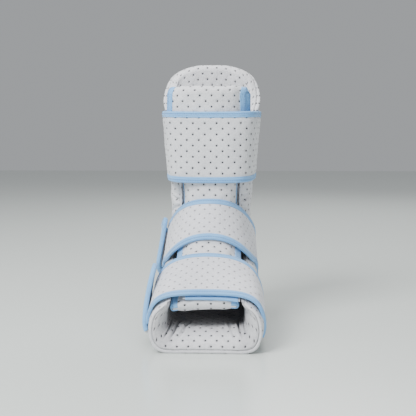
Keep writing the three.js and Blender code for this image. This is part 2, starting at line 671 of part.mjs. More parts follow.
// The binding runs up the tab's front edge, over its free end and down its rear edge
function makeTabTape(run) {
  const { length, width } = tabMeasures(run)
  const bound = tabRows(run).slice(2)
  const last = bound[bound.length - 1]
  const path = [
    ...bound.map((row) => ({
      along: row.along, across: row.inset, forth: Math.sin(row.angle), side: -Math.cos(row.angle),
    })),
    ...tabColumns(last, width).slice(1, -1).map((across) => ({ along: 1, across, forth: 1, side: 0 })),
    ...bound.slice().reverse().map((row) => (
      { along: row.along, across: 1 - row.inset, forth: Math.sin(row.angle), side: Math.cos(row.angle) }
    )),
  ]
  return foldedTape(path.map(({ along, across, forth, side }) => {
    const atEdge = tabFrame(run, along, across)
    const within = tabFrame(run, along - (tapeWidth * forth) / length, across - (tapeWidth * side) / width)
    return {
      edge: atEdge.point,
      inside: within.point,
      up: atEdge.up,
      insideUp: within.up,
      out: atEdge.forth.clone().multiplyScalar(forth).addScaledVector(atEdge.sideways, side).normalize(),
      thickness: strapThickness,
    }
  }))
}

const group = new THREE.Group()

function add(name, geometry, material) {
  const mesh = new THREE.Mesh(geometry, material)
  mesh.name = name
  group.add(mesh)
}

add('outer_cover', makeCover(), clothGrey)
add('inner_liner', makeLiner(), liningGrey)
add('instep_pad', makePad(instepStops), clothGrey)
add('shin_pad', makePad(shinStops), clothGrey)
for (const [side, sideSign] of [['left', -1], ['right', 1]]) {
  add(`instep_pad_binding_${side}`, makePadTape(instepStops, sideSign), tapeBlue)
  add(`shin_pad_binding_${side}`, makePadTape(shinStops, sideSign), tapeBlue)
}
for (const [name, strap] of Object.entries(straps)) {
  const edgeAt = (edge, reach) => strapEdge(strap, edge, reach)
  add(`${name}_strap`, makeBand(edgeAt, reachesBothWays, strapThickness), clothGrey)
  for (const edge of ['lower', 'upper']) {
    const tape = makeBandTape(edgeAt, reachesBothWays.slice(1, -1), strapThickness, edge)
    add(`${name}_strap_binding_${edge}`, tape, tapeBlue)
  }
}
add('foot_strap_lining', makeBand(liningEdge, liningReaches, liningThickness), clothGrey)
const liningTape = makeBandTape(liningEdge, liningReaches.slice(1, -1), liningThickness, 'lower')
add('foot_strap_lining_binding', liningTape, tapeBlue)
for (const [name, run] of [['ankle_tab', ankleTabRun], ['foot_tab', footTabRun]]) {
  add(name, makeTab(run), clothGrey)
  add(`${name}_binding`, makeTabTape(run), tapeBlue)
}

export default group
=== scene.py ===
import math

import bpy
import numpy as np
from mathutils import Matrix, Vector


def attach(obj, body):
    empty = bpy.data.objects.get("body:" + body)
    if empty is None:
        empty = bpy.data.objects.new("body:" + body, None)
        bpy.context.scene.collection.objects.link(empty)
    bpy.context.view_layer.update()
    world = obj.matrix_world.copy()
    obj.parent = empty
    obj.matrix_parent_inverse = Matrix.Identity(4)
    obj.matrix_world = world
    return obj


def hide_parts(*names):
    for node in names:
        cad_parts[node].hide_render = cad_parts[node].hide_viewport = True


# A padded walking boot with an open toe. Lengths here are in millimetres until they reach a mesh,
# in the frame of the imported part: the toe points to -Y and the sole stands on Z = 0.

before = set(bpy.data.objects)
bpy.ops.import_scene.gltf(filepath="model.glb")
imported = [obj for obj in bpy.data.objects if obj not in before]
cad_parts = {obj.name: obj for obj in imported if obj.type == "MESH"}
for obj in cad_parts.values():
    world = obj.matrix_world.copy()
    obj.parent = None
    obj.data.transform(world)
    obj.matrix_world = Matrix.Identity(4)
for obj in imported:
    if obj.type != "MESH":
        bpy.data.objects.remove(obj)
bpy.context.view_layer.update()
print("frame loaded")

shell = {
    "footLength": 255.0, "bootHeight": 355.0, "toeWidth": 134.0, "heelRadius": 55.0, "toeSideHeight": 60.0,
    "ankleSideHeight": 100.0, "legDepth": 77.0, "bendRadius": 28.0, "topCornerDrop": 88.0, "coverThickness": 5.0,
    "mouthRoll": 30.0, "rimRoll": 9.0, "mouthCorner": 7.0, "seamGap": 0.15,
}
toeY = -shell["footLength"] / 2
heelY = shell["footLength"] / 2
wingY = heelY - shell["legDepth"]
soleRun = shell["footLength"] - shell["heelRadius"]


def makeTable(columns, *rows):
    # a table of named columns, each an array of its rows
    return {name: np.array([row[k] for row in rows], float) for k, name in enumerate(columns.split())}


# cross sections of the body from the toe mouth (0) round the heel (1 to 2) to the top (3): place on the free edge,
# half width, how far the walls curl in at their edges, and the padding under the foot and at the sides
sections = makeTable(
    "at edge half curl base side",
    (0.0, 0.0, 67, 0.62, 26, 21), (0.4, 0.533, 67, 0.66, 26, 21), (0.75, 1.0, 65, 0.7, 26, 21),
    (1.0, 1.22, 62, 0.73, 26, 17), (1.5, 1.5, 62, 0.74, 26, 17), (2.0, 1.78, 61.4, 0.74, 18, 17),
    (2.243, 2.0, 56.9, 0.72, 18, 17), (2.37, 2.168, 56, 0.71, 18, 17), (2.45, 2.273, 57.5, 0.7, 18, 17),
    (2.62, 2.498, 61.4, 0.71, 18, 17), (2.77, 2.696, 65.1, 0.72, 18, 17), (2.84, 2.789, 68.5, 0.72, 18, 17),
    (3.0, 3.0, 68.5, 0.72, 18, 17))
# one half of a section from the middle of the sole (0) to the free edge (1), of its outer and its inner skin
contour = makeTable(
    "at outX outH outCurl inX inH inCurl",
    (0.0, 0.0, 0.0, 0.0, 0.0, 0.0, 0.0), (0.18, 0.36, 0.0, 0.0, 0.42, 0.0, 0.0),
    (0.33, 0.69, 0.0, 0.0, 0.8, 0.02, 0.0), (0.45, 0.88, 0.07, 0.0, 0.95, 0.08, 0.0),
    (0.56, 0.975, 0.25, 0.0, 1.0, 0.2, 0.0), (0.68, 1.0, 0.48, 0.0, 1.0, 0.38, 0.05),
    (0.8, 1.0, 0.72, 0.12, 1.0, 0.6, 0.25), (0.9, 1.0, 0.88, 0.42, 1.0, 0.78, 0.62),
    (0.97, 1.0, 0.975, 0.82, 1.0, 0.92, 0.92), (1.0, 1.0, 1.0, 1.0, 1.0, 1.0, 1.0))
# how far the rim drops from the middle of the back to the wings' corners
topOutline = makeTable(
    "at drop",
    (0.0, 0.0), (0.18, 0.012), (0.33, 0.09), (0.45, 0.21), (0.56, 0.4), (0.68, 0.61), (0.8, 0.79), (1.0, 1.0))
# the pads' outer face in the side view, as shares of the foot's length ahead of the heel and of the boot's height
instepLine = makeTable(
    "at ahead up",
    (0.0, 0.955, 0.168), (0.12, 0.872, 0.195), (0.24, 0.8, 0.227), (0.42, 0.663, 0.292), (0.52, 0.587, 0.333),
    (0.62, 0.502, 0.4), (0.68, 0.47, 0.452), (0.75, 0.447, 0.522), (0.86, 0.435, 0.68), (1.0, 0.43, 0.872))
# half width of each pad and how far its sides fall back, as a share of the half width
instepShape = makeTable(
    "at half fall",
    (0.0, 38, 0.05), (0.24, 38, 0.1), (0.42, 39, 0.36), (0.56, 39, 0.5), (0.68, 39, 0.5), (0.8, 42, 0.4))
shinShape = makeTable(
    "at half fall",
    (0.56, 38.2, 0.7), (0.68, 36.7, 0.92), (0.77, 38, 0.62), (0.88, 50, 0.34), (1.0, 50, 0.27))


def tableValue(table, key, at):
    # a cubic between the rows of a table, whose slope at each row is that of its neighbours
    at = np.asarray(at, float)
    places, values = table["at"], table[key]
    row = np.clip(np.searchsorted(places, at, side="right") - 1, 0, len(places) - 2)
    before, after = np.maximum(row - 1, 0), np.minimum(row + 2, len(places) - 1)
    width = places[row + 1] - places[row]
    s = np.clip((at - places[row]) / width, 0, 1)
    slopeA = (values[row + 1] - values[before]) / (places[row + 1] - places[before]) * width
    slopeB = (values[after] - values[row]) / (places[after] - places[row]) * width
    return ((2 * s**3 - 3 * s**2 + 1) * values[row] + (s**3 - 2 * s**2 + s) * slopeA
            + (3 * s**2 - 2 * s**3) * values[row + 1] + (s**3 - s**2) * slopeB)


def mix(a, b, share):
    # straight from a at share 0 to b at share 1
    return a + (b - a) * share


def smooth(low, high, value):
    # a smooth step from 0 at low to 1 at high
    s = np.clip((value - low) / (high - low), 0, 1)
    return s * s * (3 - 2 * s)


def bump(value, centre, width):
    # a bell of height 1 and the given half width
    return np.exp(-((value - centre) / width) ** 2)


def rounded(distance, radius):
    # the height of a quarter circle at a distance from its edge, 1 from the radius on
    inside = np.clip(1 - distance / radius, 0, 1)
    return np.sqrt(1 - inside**2)


def unit(vectors):
    # each vector over its own length
    return vectors / np.maximum(np.linalg.norm(vectors, axis=-1, keepdims=True), 1e-9)


def ripples(u, v, wave, seed, count=16):
    # a cloudy field of about -1 to 1: many cosine waves of about one length in seeded directions
    source = np.random.default_rng(seed)
    field = np.zeros(np.broadcast(u, v).shape)
    for angle, scale, phase in zip(source.uniform(0, math.pi, count), source.uniform(0.7, 1.6, count),
                                   source.uniform(0, 2 * math.pi, count)):
        field += np.cos(2 * math.pi * (u * math.cos(angle) + v * math.sin(angle)) / (wave * scale) + phase)
    return field / math.sqrt(count)


def basePoint(at):
    # the outer line in the side view, straight along the sole, a quarter circle at the heel and straight up the
    # back, with its inward way
    start = heelY - shell["heelRadius"]
    angle = (np.clip(at, 1, 2) - 1) * math.pi / 2
    sole, back = at <= 1, at >= 2
    y = np.where(sole, mix(toeY, start, at), np.where(back, heelY, start + shell["heelRadius"] * np.sin(angle)))
    z = np.where(sole, 0, np.where(back, mix(shell["heelRadius"], shell["bootHeight"], at - 2),
                                   shell["heelRadius"] * (1 - np.cos(angle))))
    inY = np.where(sole, 0, np.where(back, -1, -np.sin(angle)))
    inZ = np.where(sole, 1, np.where(back, 0, np.cos(angle)))
    return y, z, inY, inZ


def edgePoint(at):
    # the free edge of the side walls in the side view, straight along the foot, a quarter circle at the bend and
    # straight up the wing, with the way into the wall
    start = wingY - shell["bendRadius"]
    top = shell["ankleSideHeight"] + shell["bendRadius"]
    angle = (np.clip(at, 1, 2) - 1) * math.pi / 2
    foot, wing = at <= 1, at >= 2
    y = np.where(foot, mix(toeY, start, at), np.where(wing, wingY, start + shell["bendRadius"] * np.sin(angle)))
    z = np.where(foot, mix(shell["toeSideHeight"], shell["ankleSideHeight"], at),
                 np.where(wing, mix(top, shell["bootHeight"], at - 2), top - shell["bendRadius"] * np.cos(angle)))
    inY = np.where(foot, 0, np.where(wing, 1, np.sin(angle)))
    inZ = np.where(foot, -1, np.where(wing, 0, -np.cos(angle)))
    return y, z, inY, inZ


def sidePoint(at, height):
    # a cubic curve of four weighted points in the side view, which leaves the base squarely and meets the free edge
    # squarely, and about its length
    baseY, baseZ, baseInY, baseInZ = basePoint(at)
    edgeY, edgeZ, edgeInY, edgeInZ = edgePoint(tableValue(sections, "edge", at))
    reach = np.hypot(edgeY - baseY, edgeZ - baseZ) / 3
    t, u = height, 1 - height
    w0, w1, w2, w3 = u**3, 3 * u * u * t, 3 * u * t * t, t**3
    y = w0 * baseY + w1 * (baseY + baseInY * reach) + w2 * (edgeY + edgeInY * reach) + w3 * edgeY
    z = w0 * baseZ + w1 * (baseZ + baseInZ * reach) + w2 * (edgeZ + edgeInZ * reach) + w3 * edgeZ
    return y, z, 3 * reach


def bodyPoint(at, across, depth):
    # a point of the padded body: its section's outer and inner contour, mixed by a depth from 0 on the outer skin
    # to 1 on the inner. Depth may be a function of the wall's thickness in millimetres.
    at, across = np.broadcast_arrays(np.asarray(at, float), np.asarray(across, float))
    half = tableValue(sections, "half", at)
    curl = half * tableValue(sections, "curl", at)
    innerHalf = half - tableValue(sections, "side", at)
    length = sidePoint(at, np.ones_like(at))[2]
    baseShare = tableValue(sections, "base", at) / length
    c = np.abs(across)
    outX = half * tableValue(contour, "outX", c) + (curl - half) * tableValue(contour, "outCurl", c)
    inX = innerHalf * tableValue(contour, "inX", c) + (curl - innerHalf) * tableValue(contour, "inCurl", c)
    outH = tableValue(contour, "outH", c)
    inH = baseShare + (1 - baseShare) * tableValue(contour, "inH", c)
    share = depth(np.hypot(outX - inX, (outH - inH) * length)) if callable(depth) else depth
    y, z, _ = sidePoint(at, np.maximum(0, mix(outH, inH, share)))
    return np.stack([np.sign(across) * mix(outX, inX, share), y, z], -1)


def gridNormals(points):
    # the way off a grid's surface, from the cross product of its two directions
    return unit(np.cross(np.gradient(points, axis=0), np.gradient(points, axis=1)))


def gridUv(points):
    # real lengths over a grid: across from its middle column, and along its rows averaged over the columns
    across = np.linalg.norm(np.diff(points, axis=1), axis=-1).cumsum(axis=1)
    across = np.concatenate([np.zeros((len(points), 1)), across], axis=1)
    across -= across[:, [points.shape[1] // 2]]
    middle = points.shape[1] // 4
    along = np.linalg.norm(np.diff(points[:, middle:-middle], axis=0), axis=-1).mean(axis=1).cumsum()
    along = np.concatenate([[0], along])
    return np.stack([across, np.broadcast_to(along[:, None], across.shape)], -1)


def addPiece(name, points, faces, uv, material, nodes):
    # a mesh object at the origin, in metres, with its own UV map in hundreds of millimetres
    mesh = bpy.data.meshes.new(name)
    mesh.from_pydata(points / 1000.0, [], faces)
    layer = mesh.uv_layers.new(name="cloth")
    corner = np.empty(len(mesh.loops), np.int32)
    mesh.loops.foreach_get("vertex_index", corner)
    layer.data.foreach_set("uv", (uv[corner] / 100.0).astype(np.float32).ravel())
    mesh.validate()
    mesh.polygons.foreach_set("use_smooth", np.ones(len(mesh.polygons), bool))
    mesh.materials.append(material)
    piece = bpy.data.objects.new(name, mesh)
    bpy.context.scene.collection.objects.link(piece)
    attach(piece, "root")
    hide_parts(*nodes)
    return piece


def closedFaces(points, faces):
    # faces turned so that the closed mesh has a positive volume
    a, b, c = (points[faces[:, k]] for k in range(3))
    d = points[faces[:, 3]]
    volume = np.einsum("ij,ij->", a, np.cross(b, c)) + np.einsum("ij,ij->", a, np.cross(c, d))
    return faces[:, ::-1] if volume < 0 else faces


def makeQuilt(name, outer, inner, uv, material, nodes):
    # two skins over one grid, joined along the grid's border into a closed piece
    rows, columns = outer.shape[:2]
    outerIndex = np.arange(rows * columns).reshape(rows, columns)
    innerIndex = outerIndex.copy()
    innerIndex[1:-1, 1:-1] = rows * columns + np.arange((rows - 2) * (columns - 2)).reshape(rows - 2, columns - 2)
    points = np.concatenate([outer.reshape(-1, 3), inner[1:-1, 1:-1].reshape(-1, 3)])
    coordinates = np.concatenate([uv.reshape(-1, 2), uv[1:-1, 1:-1].reshape(-1, 2)])

    def quads(index):
        return np.stack([index[:-1, :-1], index[:-1, 1:], index[1:, 1:], index[1:, :-1]], -1).reshape(-1, 4)

    faces = np.concatenate([quads(outerIndex), quads(innerIndex)[:, ::-1]])
    return addPiece(name, points, closedFaces(points, faces).tolist(), coordinates, material, nodes)


def addNode(tree, kind, settings=None, inputs=None):
    # one shader node: its settings, then its sockets, each with a value or a link
    node = tree.nodes.new(kind)
    for key, value in (settings or {}).items():
        setattr(node, key, value)
    for key, value in (inputs or {}).items():
        if isinstance(value, Wire):
            tree.links.new(value.socket, node.inputs[key])
        else:
            node.inputs[key].default_value = value
    return node


class Wire:
    # one socket of a node tree, so that arithmetic on it adds Math nodes
    def __init__(self, tree, socket):
        self.tree, self.socket = tree, socket

    def math(self, operation, *values):
        node = addNode(self.tree, "ShaderNodeMath", {"operation": operation}, dict(enumerate(values)))
        return Wire(self.tree, node.outputs[0])

    def __add__(self, other): return self.math("ADD", self, other)
    def __radd__(self, other): return self.math("ADD", other, self)
    def __sub__(self, other): return self.math("SUBTRACT", self, other)
    def __rsub__(self, other): return self.math("SUBTRACT", other, self)
    def __mul__(self, other): return self.math("MULTIPLY", self, other)
    def __rmul__(self, other): return self.math("MULTIPLY", other, self)
    def __truediv__(self, other): return self.math("DIVIDE", self, other)
    def floor(self): return self.math("FLOOR", self)
    def fract(self): return self.math("FRACT", self)
    def size(self): return self.math("ABSOLUTE", self)
    def sine(self): return self.math("SINE", self)
    def root(self): return self.math("SQRT", self)
    def most(self, other): return self.math("MAXIMUM", self, other)

    def step(self, low, high):
        # a smooth step from 0 at low to 1 at high
        node = addNode(self.tree, "ShaderNodeMapRange", {"interpolation_type": "SMOOTHSTEP"},
                       {"Value": self, "From Min": low, "From Max": high})
        return Wire(self.tree, node.outputs["Result"])


class Cloth:
    # a material under construction: its node tree, its surface shader and the nodes that all fabrics use
    def __init__(self, name, roughness, sheen):
        self.material = bpy.data.materials.new(name)
        self.material.use_nodes = True
        self.tree = self.material.node_tree
        self.shader = self.tree.nodes["Principled BSDF"]
        for key, value in (("Roughness", roughness), ("Sheen Weight", sheen), ("Sheen Roughness", 0.5),
                           ("Specular IOR Level", 0.2)):
            self.shader.inputs[key].default_value = value

    def node(self, kind, settings=None, inputs=None, output=0):
        # any other node, as the wire of one of its outputs
        return Wire(self.tree, addNode(self.tree, kind, settings, inputs).outputs[output])

    def parts(self, vector):
        # the three numbers of a vector
        node = addNode(self.tree, "ShaderNodeSeparateXYZ", inputs={"Vector": vector})
        return [Wire(self.tree, output) for output in node.outputs]

    def uv(self):
        # the piece's own lengths across and along it, in millimetres
        u, v, _ = self.parts(self.node("ShaderNodeUVMap", {"uv_map": "cloth"}))
        return u * 100.0, v * 100.0

    def place(self):
        # the object coordinates, in metres
        return self.node("ShaderNodeTexCoord", output="Object")

    def noise(self, scale, detail):
        # a cloudy field of about -0.5 to 0.5
        return self.node("ShaderNodeTexNoise", inputs={"Vector": self.place(), "Scale": scale, "Detail": detail}) - 0.5

    def blend(self, share, first, second):
        # the first colour at share 0, the second at 1
        return self.node("ShaderNodeMix", {"data_type": "RGBA"}, {0: share, 6: first, 7: second}, output=2)

    def finish(self, colour, height):
        # height is in millimetres
        relief = self.node("ShaderNodeBump", inputs={"Height": height, "Distance": 0.001})
        self.tree.links.new(colour.socket, self.shader.inputs["Base Color"])
        self.tree.links.new(relief.socket, self.shader.inputs["Normal"])
        return self.material


clothLook = {
    "roughness": 0.86, "sheen": 0.25, "rowPitch": 7.4, "holeDepth": 1.4, "dimpleDepth": 0.35, "knitPitch": 1.5,
    # the near black hole colour is painted shade inside each hole, and the dimple's darker tone is painted shade in the
    # dent round it
    "hole": (0.035, 0.035, 0.045, 1), "paleness": 0.55, "dimpleShade": 0.1,
    # in hole radii, where a hole and the dimple round it end
    "holeEdge": (0.7, 1.1), "dimpleEdge": (0.8, 2.6),
    # share of the knit in the tone, as painted shade following its relief, and its height in millimetres
    "knit": (0.1, 0.05),
    # scale and detail of each noise, its share in the tone and its height in millimetres
    "cloud": (14.0, 3.0, 1.4, 0.8), "fibre": (1400.0, 2.0, 0.6, 0.16), "grain": (420.0, 3.0, 1.5, 0.5),
}
# where shade is painted on the lining, far inside the foot: metres from the side walls, along the foot and over the
# sole
paintedShadeZone = {"wall": (0.03, 0.047), "wallShift": 0.016, "along": (-0.128, -0.06), "above": (0.07, 0.17)}


def paintedShadeMask(cloth):
    # the mask of painted shade: 0 at the toe mouth and in the leg, 1 far in the foot, a little earlier along the side
    # walls
    x, y, z = cloth.parts(cloth.place())
    along = y + x.size().step(*paintedShadeZone["wall"]) * paintedShadeZone["wallShift"]
    return along.step(*paintedShadeZone["along"]) * (1.0 - z.step(*paintedShadeZone["above"]))


def perforatedCloth(name, colour, shade, holeShade, holePitch, holeRadius, paintedShadeStrength):
    # pale cloth over foam, pricked in staggered rows, with a fine knit and slight unevenness. A hole is a disc
    # round the middle of each cell of the rows, and every second row is shifted by half a cell. The holes, the dimples
    # round them and the knit's low parts are painted darker as shade.
    cloth = Cloth(name, clothLook["roughness"], clothLook["sheen"])
    u, v = cloth.uv()
    line = v / clothLook["rowPitch"]
    odd = (line.floor() * 0.5).fract()
    x = ((u / holePitch + odd).fract() - 0.5) * holePitch
    y = (line.fract() - 0.5) * clothLook["rowPitch"]
    away = (x * x + y * y).root()
    hole, dimple = (1.0 - (away / holeRadius).step(*clothLook[key]) for key in ("holeEdge", "dimpleEdge"))
    turn = 2 * math.pi / clothLook["knitPitch"]
    knit = (u * turn).sine() * (v * turn).sine()
    # painted shade: the knit is paler on its raised loops and darker between them
    inTone, inHeight = clothLook["knit"]
    pale, height = knit * inTone + clothLook["paleness"], knit * inHeight
    for key in ("cloud", "fibre", "grain"):
        scale, detail, inTone, inHeight = clothLook[key]
        field = cloth.noise(scale, detail)
        pale, height = pale + field * inTone, height + field * inHeight
    tone = cloth.blend(pale, shade, colour)
    # painted shade: far inside the foot the cloth is blended towards the dark hole colour
    if paintedShadeStrength:
        tone = cloth.blend(paintedShadeMask(cloth) * paintedShadeStrength, tone, clothLook["hole"])
    # painted shade in the holes and in the dimples round them, which are also dented below
    pricked = cloth.blend(hole * holeShade + dimple * clothLook["dimpleShade"], tone, clothLook["hole"])
    return cloth.finish(pricked, height - hole * clothLook["holeDepth"] - dimple * clothLook["dimpleDepth"])


tapeLook = {
    "roughness": 0.6, "sheen": 0.3, "ribPitch": 1.15, "cordPitch": 1.7, "stitchPitch": 3.0, "paleness": 0.55,
    # share in the tone and height in millimetres of each part of the tape; the tone of the ribs, cords and gutters is
    # painted shade that follows their relief
    "rib": (0.28, 0.12), "cord": (0.14, 0.1), "shadedGutter": (-0.35, -0.5), "stitch": (0.7, 0.3), "cloud": 0.7,
    # distances from a stitch line where its stitches and the gutter round it end
    "stitchEdge": (0.2, 0.5), "gutterEdge": (0.3, 1.3),
    # distances of the stitch lines from the folded edge, on the straps' and on the pads' bindings
    "strapSeams": (4.6,), "padSeams": (3.0, 5.3),
    # the darker blue is both the tape's random darker tone and the painted shade in its grooves and gutters
    "colour": (0.26, 0.56, 0.92, 1), "darkToneAndShade": (0.13, 0.36, 0.74, 1), "thread": (0.1, 0.24, 0.52, 1),
}


def bindingTape(name, seams):
    # blue tape with fine ribs across it and lines of stitches along it, its low parts painted darker as shade; V is the
    # distance from the folded edge
    cloth = Cloth(name, tapeLook["roughness"], tapeLook["sheen"])
    u, v = cloth.uv()
    rib = (u * (2 * math.pi / tapeLook["ribPitch"])).sine()
    cord = (v * (2 * math.pi / tapeLook["cordPitch"])).sine()
    dash = 1.0 - ((u / tapeLook["stitchPitch"]).fract() - 0.45).size().step(0.26, 0.36)
    stitch, shadedGutter = None, None
    for place in seams:
        near = (v.size() - place).size()
        one = (1.0 - near.step(*tapeLook["stitchEdge"])) * dash
        dip = 1.0 - near.step(*tapeLook["gutterEdge"])
        stitch = stitch.most(one) if stitch else one
        shadedGutter = shadedGutter.most(dip) if shadedGutter else dip
    pale, height = cloth.noise(40.0, 2.0) * tapeLook["cloud"] + tapeLook["paleness"], stitch * tapeLook["stitch"][1]
    # painted shade: the ribs, cords and gutters are darker where they are low
    for key, field in (("rib", rib), ("cord", cord), ("shadedGutter", shadedGutter)):
        inTone, inHeight = tapeLook[key]
        pale, height = pale + field * inTone, height + field * inHeight
    tone = cloth.blend(pale, tapeLook["darkToneAndShade"], tapeLook["colour"])
    return cloth.finish(cloth.blend(stitch * tapeLook["stitch"][0], tone, tapeLook["thread"]), height)


def tones(name, colour, shade, holeShade=0.95, holePitch=15.6, holeRadius=1.3, paintedShadeStrength=0.0):
    # a fabric's two tones, the painted shade in its holes, their pitch and radius in millimetres, and how much shade is
    # painted on it far inside the foot
    return {"name": name, "colour": (*colour, 1), "shade": (*shade, 1), "holeShade": holeShade,
            "holePitch": holePitch, "holeRadius": holeRadius, "paintedShadeStrength": paintedShadeStrength}


clothTones = {
    "cover": tones("pale_perforated_cloth", (0.73, 0.735, 0.76), (0.56, 0.565, 0.6)),
    "pad": tones("pad_perforated_cloth", (0.74, 0.745, 0.77), (0.58, 0.585, 0.615)),
    "calf": tones("calf_strap_perforated_cloth", (0.71, 0.72, 0.745), (0.55, 0.56, 0.6)),
    "strap": tones("strap_perforated_cloth", (0.735, 0.74, 0.785), (0.55, 0.56, 0.605), 0.55, 13.0, 1.0),
    # the lining gets painted shade far inside the foot
    "lining": tones("lining_perforated_cloth", (0.74, 0.74, 0.765), (0.57, 0.57, 0.6), 0.85, 13.4, 1.25, 0.94),
}
fabrics = {key: perforatedCloth(**tone) for key, tone in clothTones.items()}
strapTape = bindingTape("blue_ribbed_tape", tapeLook["strapSeams"])
padTape = bindingTape("blue_ribbed_pad_tape", tapeLook["padSeams"])
print("materials made")

bodyLook = {
    # rows of the grid: at the toe mouth, then the count up to each section, then up the leg
    "mouthRows": 26, "spans": ((1.0, 36), (2.0, 18), (2.3, 15), (2.44, 34), (2.5, 5)), "legRows": 66, "columns": 92,
    # how much closer the rows get at the mouth and the rim, and the columns at the edges
    "mouthEase": 1.7, "rimEase": 1.5, "edgeEase": 1.35, "cornerFrom": 0.88,
    # how far across the cover reaches, its rounding at the mouth, at the edge and at the rim, and the flat border
    "coverEdge": 0.97, "coverRound": (2.2, 0.006, 0.9), "border": 9.0, "billow": 0.7, "betweenStraps": 1.6,
    # height, lean, depth and half width of each crease in the wings' front edges
    "wingFolds": ((165, 0.3, 4.2, 2.2), (157, -0.3, 3.2, 2.0), (172.5, 0.3, 1.6, 2.0)), "wingFoldY": 52,
}


def bodyRows():
    # the rows of the body's grid: close at the toe mouth, above the ankle strap and at the rim
    mouthEnd = shell["mouthRoll"] / soleRun
    mouth = mouthEnd * np.linspace(0, 1, bodyLook["mouthRows"]) ** bodyLook["mouthEase"]
    rows = [mouth]
    for end, count in bodyLook["spans"]:
        rows.append(np.linspace(rows[-1][-1], end, count + 1)[1:])
    leg = 1 - (1 - np.linspace(0, 1, bodyLook["legRows"])[1:]) ** bodyLook["rimEase"]
    return np.concatenate(rows), leg


def bodyGrid(limit):
    # section place, place across, distance to the toe mouth and distance to the rim over the whole body
    low, leg = bodyRows()
    half = limit * (1 - (1 - np.linspace(0, 1, bodyLook["columns"])) ** bodyLook["edgeEase"])
    across = np.concatenate([-half[:0:-1], half])
    c = np.abs(across)[None, :]
    start = bodyLook["cornerFrom"]
    corner = shell["mouthCorner"] / soleRun * np.clip((c - start) / (1 - start), 0, 1) ** 2
    lowAt = low[:, None] + corner * np.clip(1 - low[:, None] / (shell["mouthRoll"] / soleRun), 0, 1)
    run = shell["bootHeight"] - shell["heelRadius"]
    rim = 3 - shell["topCornerDrop"] * tableValue(topOutline, "drop", c) / run
    legAt = mix(low[-1], rim, leg[:, None])
    at = np.concatenate([lowAt, legAt])
    toMouth = np.concatenate([np.broadcast_to(low[:, None] * soleRun, lowAt.shape),
                              np.full(legAt.shape, shell["footLength"])])
    toRim = np.concatenate([np.full(lowAt.shape, shell["bootHeight"]), (rim - legAt) * run])
    return at, np.broadcast_to(across, at.shape), toMouth, toRim


def coverShare(thickness):
    # the cover's share of the wall's thickness
    return np.minimum(0.45, shell["coverThickness"] / np.maximum(thickness, 1e-6))


def bellies(points, strength):
    # the side walls swell a little where no strap holds them in: a bell above the ankle strap, one over the heel
    # and one over the calf strap
    y, z = points[..., 1], points[..., 2]
    belowCalf = bump(z, 172, 13) * smooth(30, 60, y)
    ankle = bump(z - 0.5 * y, 92, 11) * smooth(120, 60, z) * smooth(100, 20, y)
    top = bump(z, 304, 12) * smooth(20, 60, y)
    return strength * (belowCalf + ankle + 0.6 * top)


def wingFolds(points, across):
    # short creases pressed into the wings' front edges just above the ankle strap, each a bell across a slanted line
    y, z = points[..., 1], points[..., 2]
    c = np.abs(across)
    reach = smooth(0.74, 0.86, c) * smooth(1.0, 0.99, c) * smooth(30, 45, y)
    return -reach * sum(depth * bump(z - lean * (y - bodyLook["wingFoldY"]), height, width)
                        for height, lean, depth, width in bodyLook["wingFolds"])


def facing(points, away):
    # the way off a grid's surface, turned to the side that the given vectors point to
    way = gridNormals(points)
    return np.where((way * away).sum(-1, keepdims=True) < 0, -way, way)


def makeCover():
    # the outer cloth shell: the body's outer skin and one a cover's thickness inside it, which meet in a round
    # border, with clouds of slight swelling and the creases added along the way off the surface
    edge = bodyLook["coverEdge"]
    at, across, toMouth, toRim = bodyGrid(edge)
    toEdge = edge - np.abs(across)
    atMouth, atEdge, atRim = bodyLook["coverRound"]
    full = rounded(toMouth, atMouth) * rounded(toEdge, atEdge) * rounded(toRim, atRim)
    outer = bodyPoint(at, across, lambda t: coverShare(t) * (0.5 - 0.5 * full))
    inner = bodyPoint(at, across, lambda t: coverShare(t) * (0.5 + 0.5 * full))
    uv = gridUv(outer)
    way = facing(outer, outer - inner)
    calm = smooth(0.0, bodyLook["border"], toMouth) * smooth(0.0, bodyLook["border"], toRim) * smooth(0.0, 0.06, toEdge)
    calm = calm * full * smooth(1.0, 8.0, outer[..., 2])
    sag = ripples(uv[..., 0], uv[..., 1], 62, 4) + 0.4 * ripples(uv[..., 0], uv[..., 1], 24, 5)
    swell = bodyLook["billow"] * sag + bellies(outer, bodyLook["betweenStraps"])
    outer = outer + way * (calm * swell + wingFolds(outer, across))[..., None]
    return makeQuilt("outer_cover_padded", outer, inner, uv, fabrics["cover"], ["outer_cover"])


linerLook = {
    # height, size and seed of the foam's clouds of unevenness
    "clouds": ((0.8, 46, 11), (0.45, 19, 12)),
    # place across at the mouth's edge, lean with depth, half width, depth and length of each crease in the toe lining
    "creases": ((-0.27, 0.05, 0.011, 3.4, 34), (-0.345, 0.03, 0.012, 4.2, 36), (-0.43, 0.0, 0.014, 3.6, 30),
                (0.3, -0.05, 0.012, 2.4, 28), (0.37, -0.02, 0.012, 4.6, 38), (0.455, 0.02, 0.016, 2.6, 26)),
    # places across between which the lining comes out flush with the cover
    "flush": (0.9705, 0.9745),
}


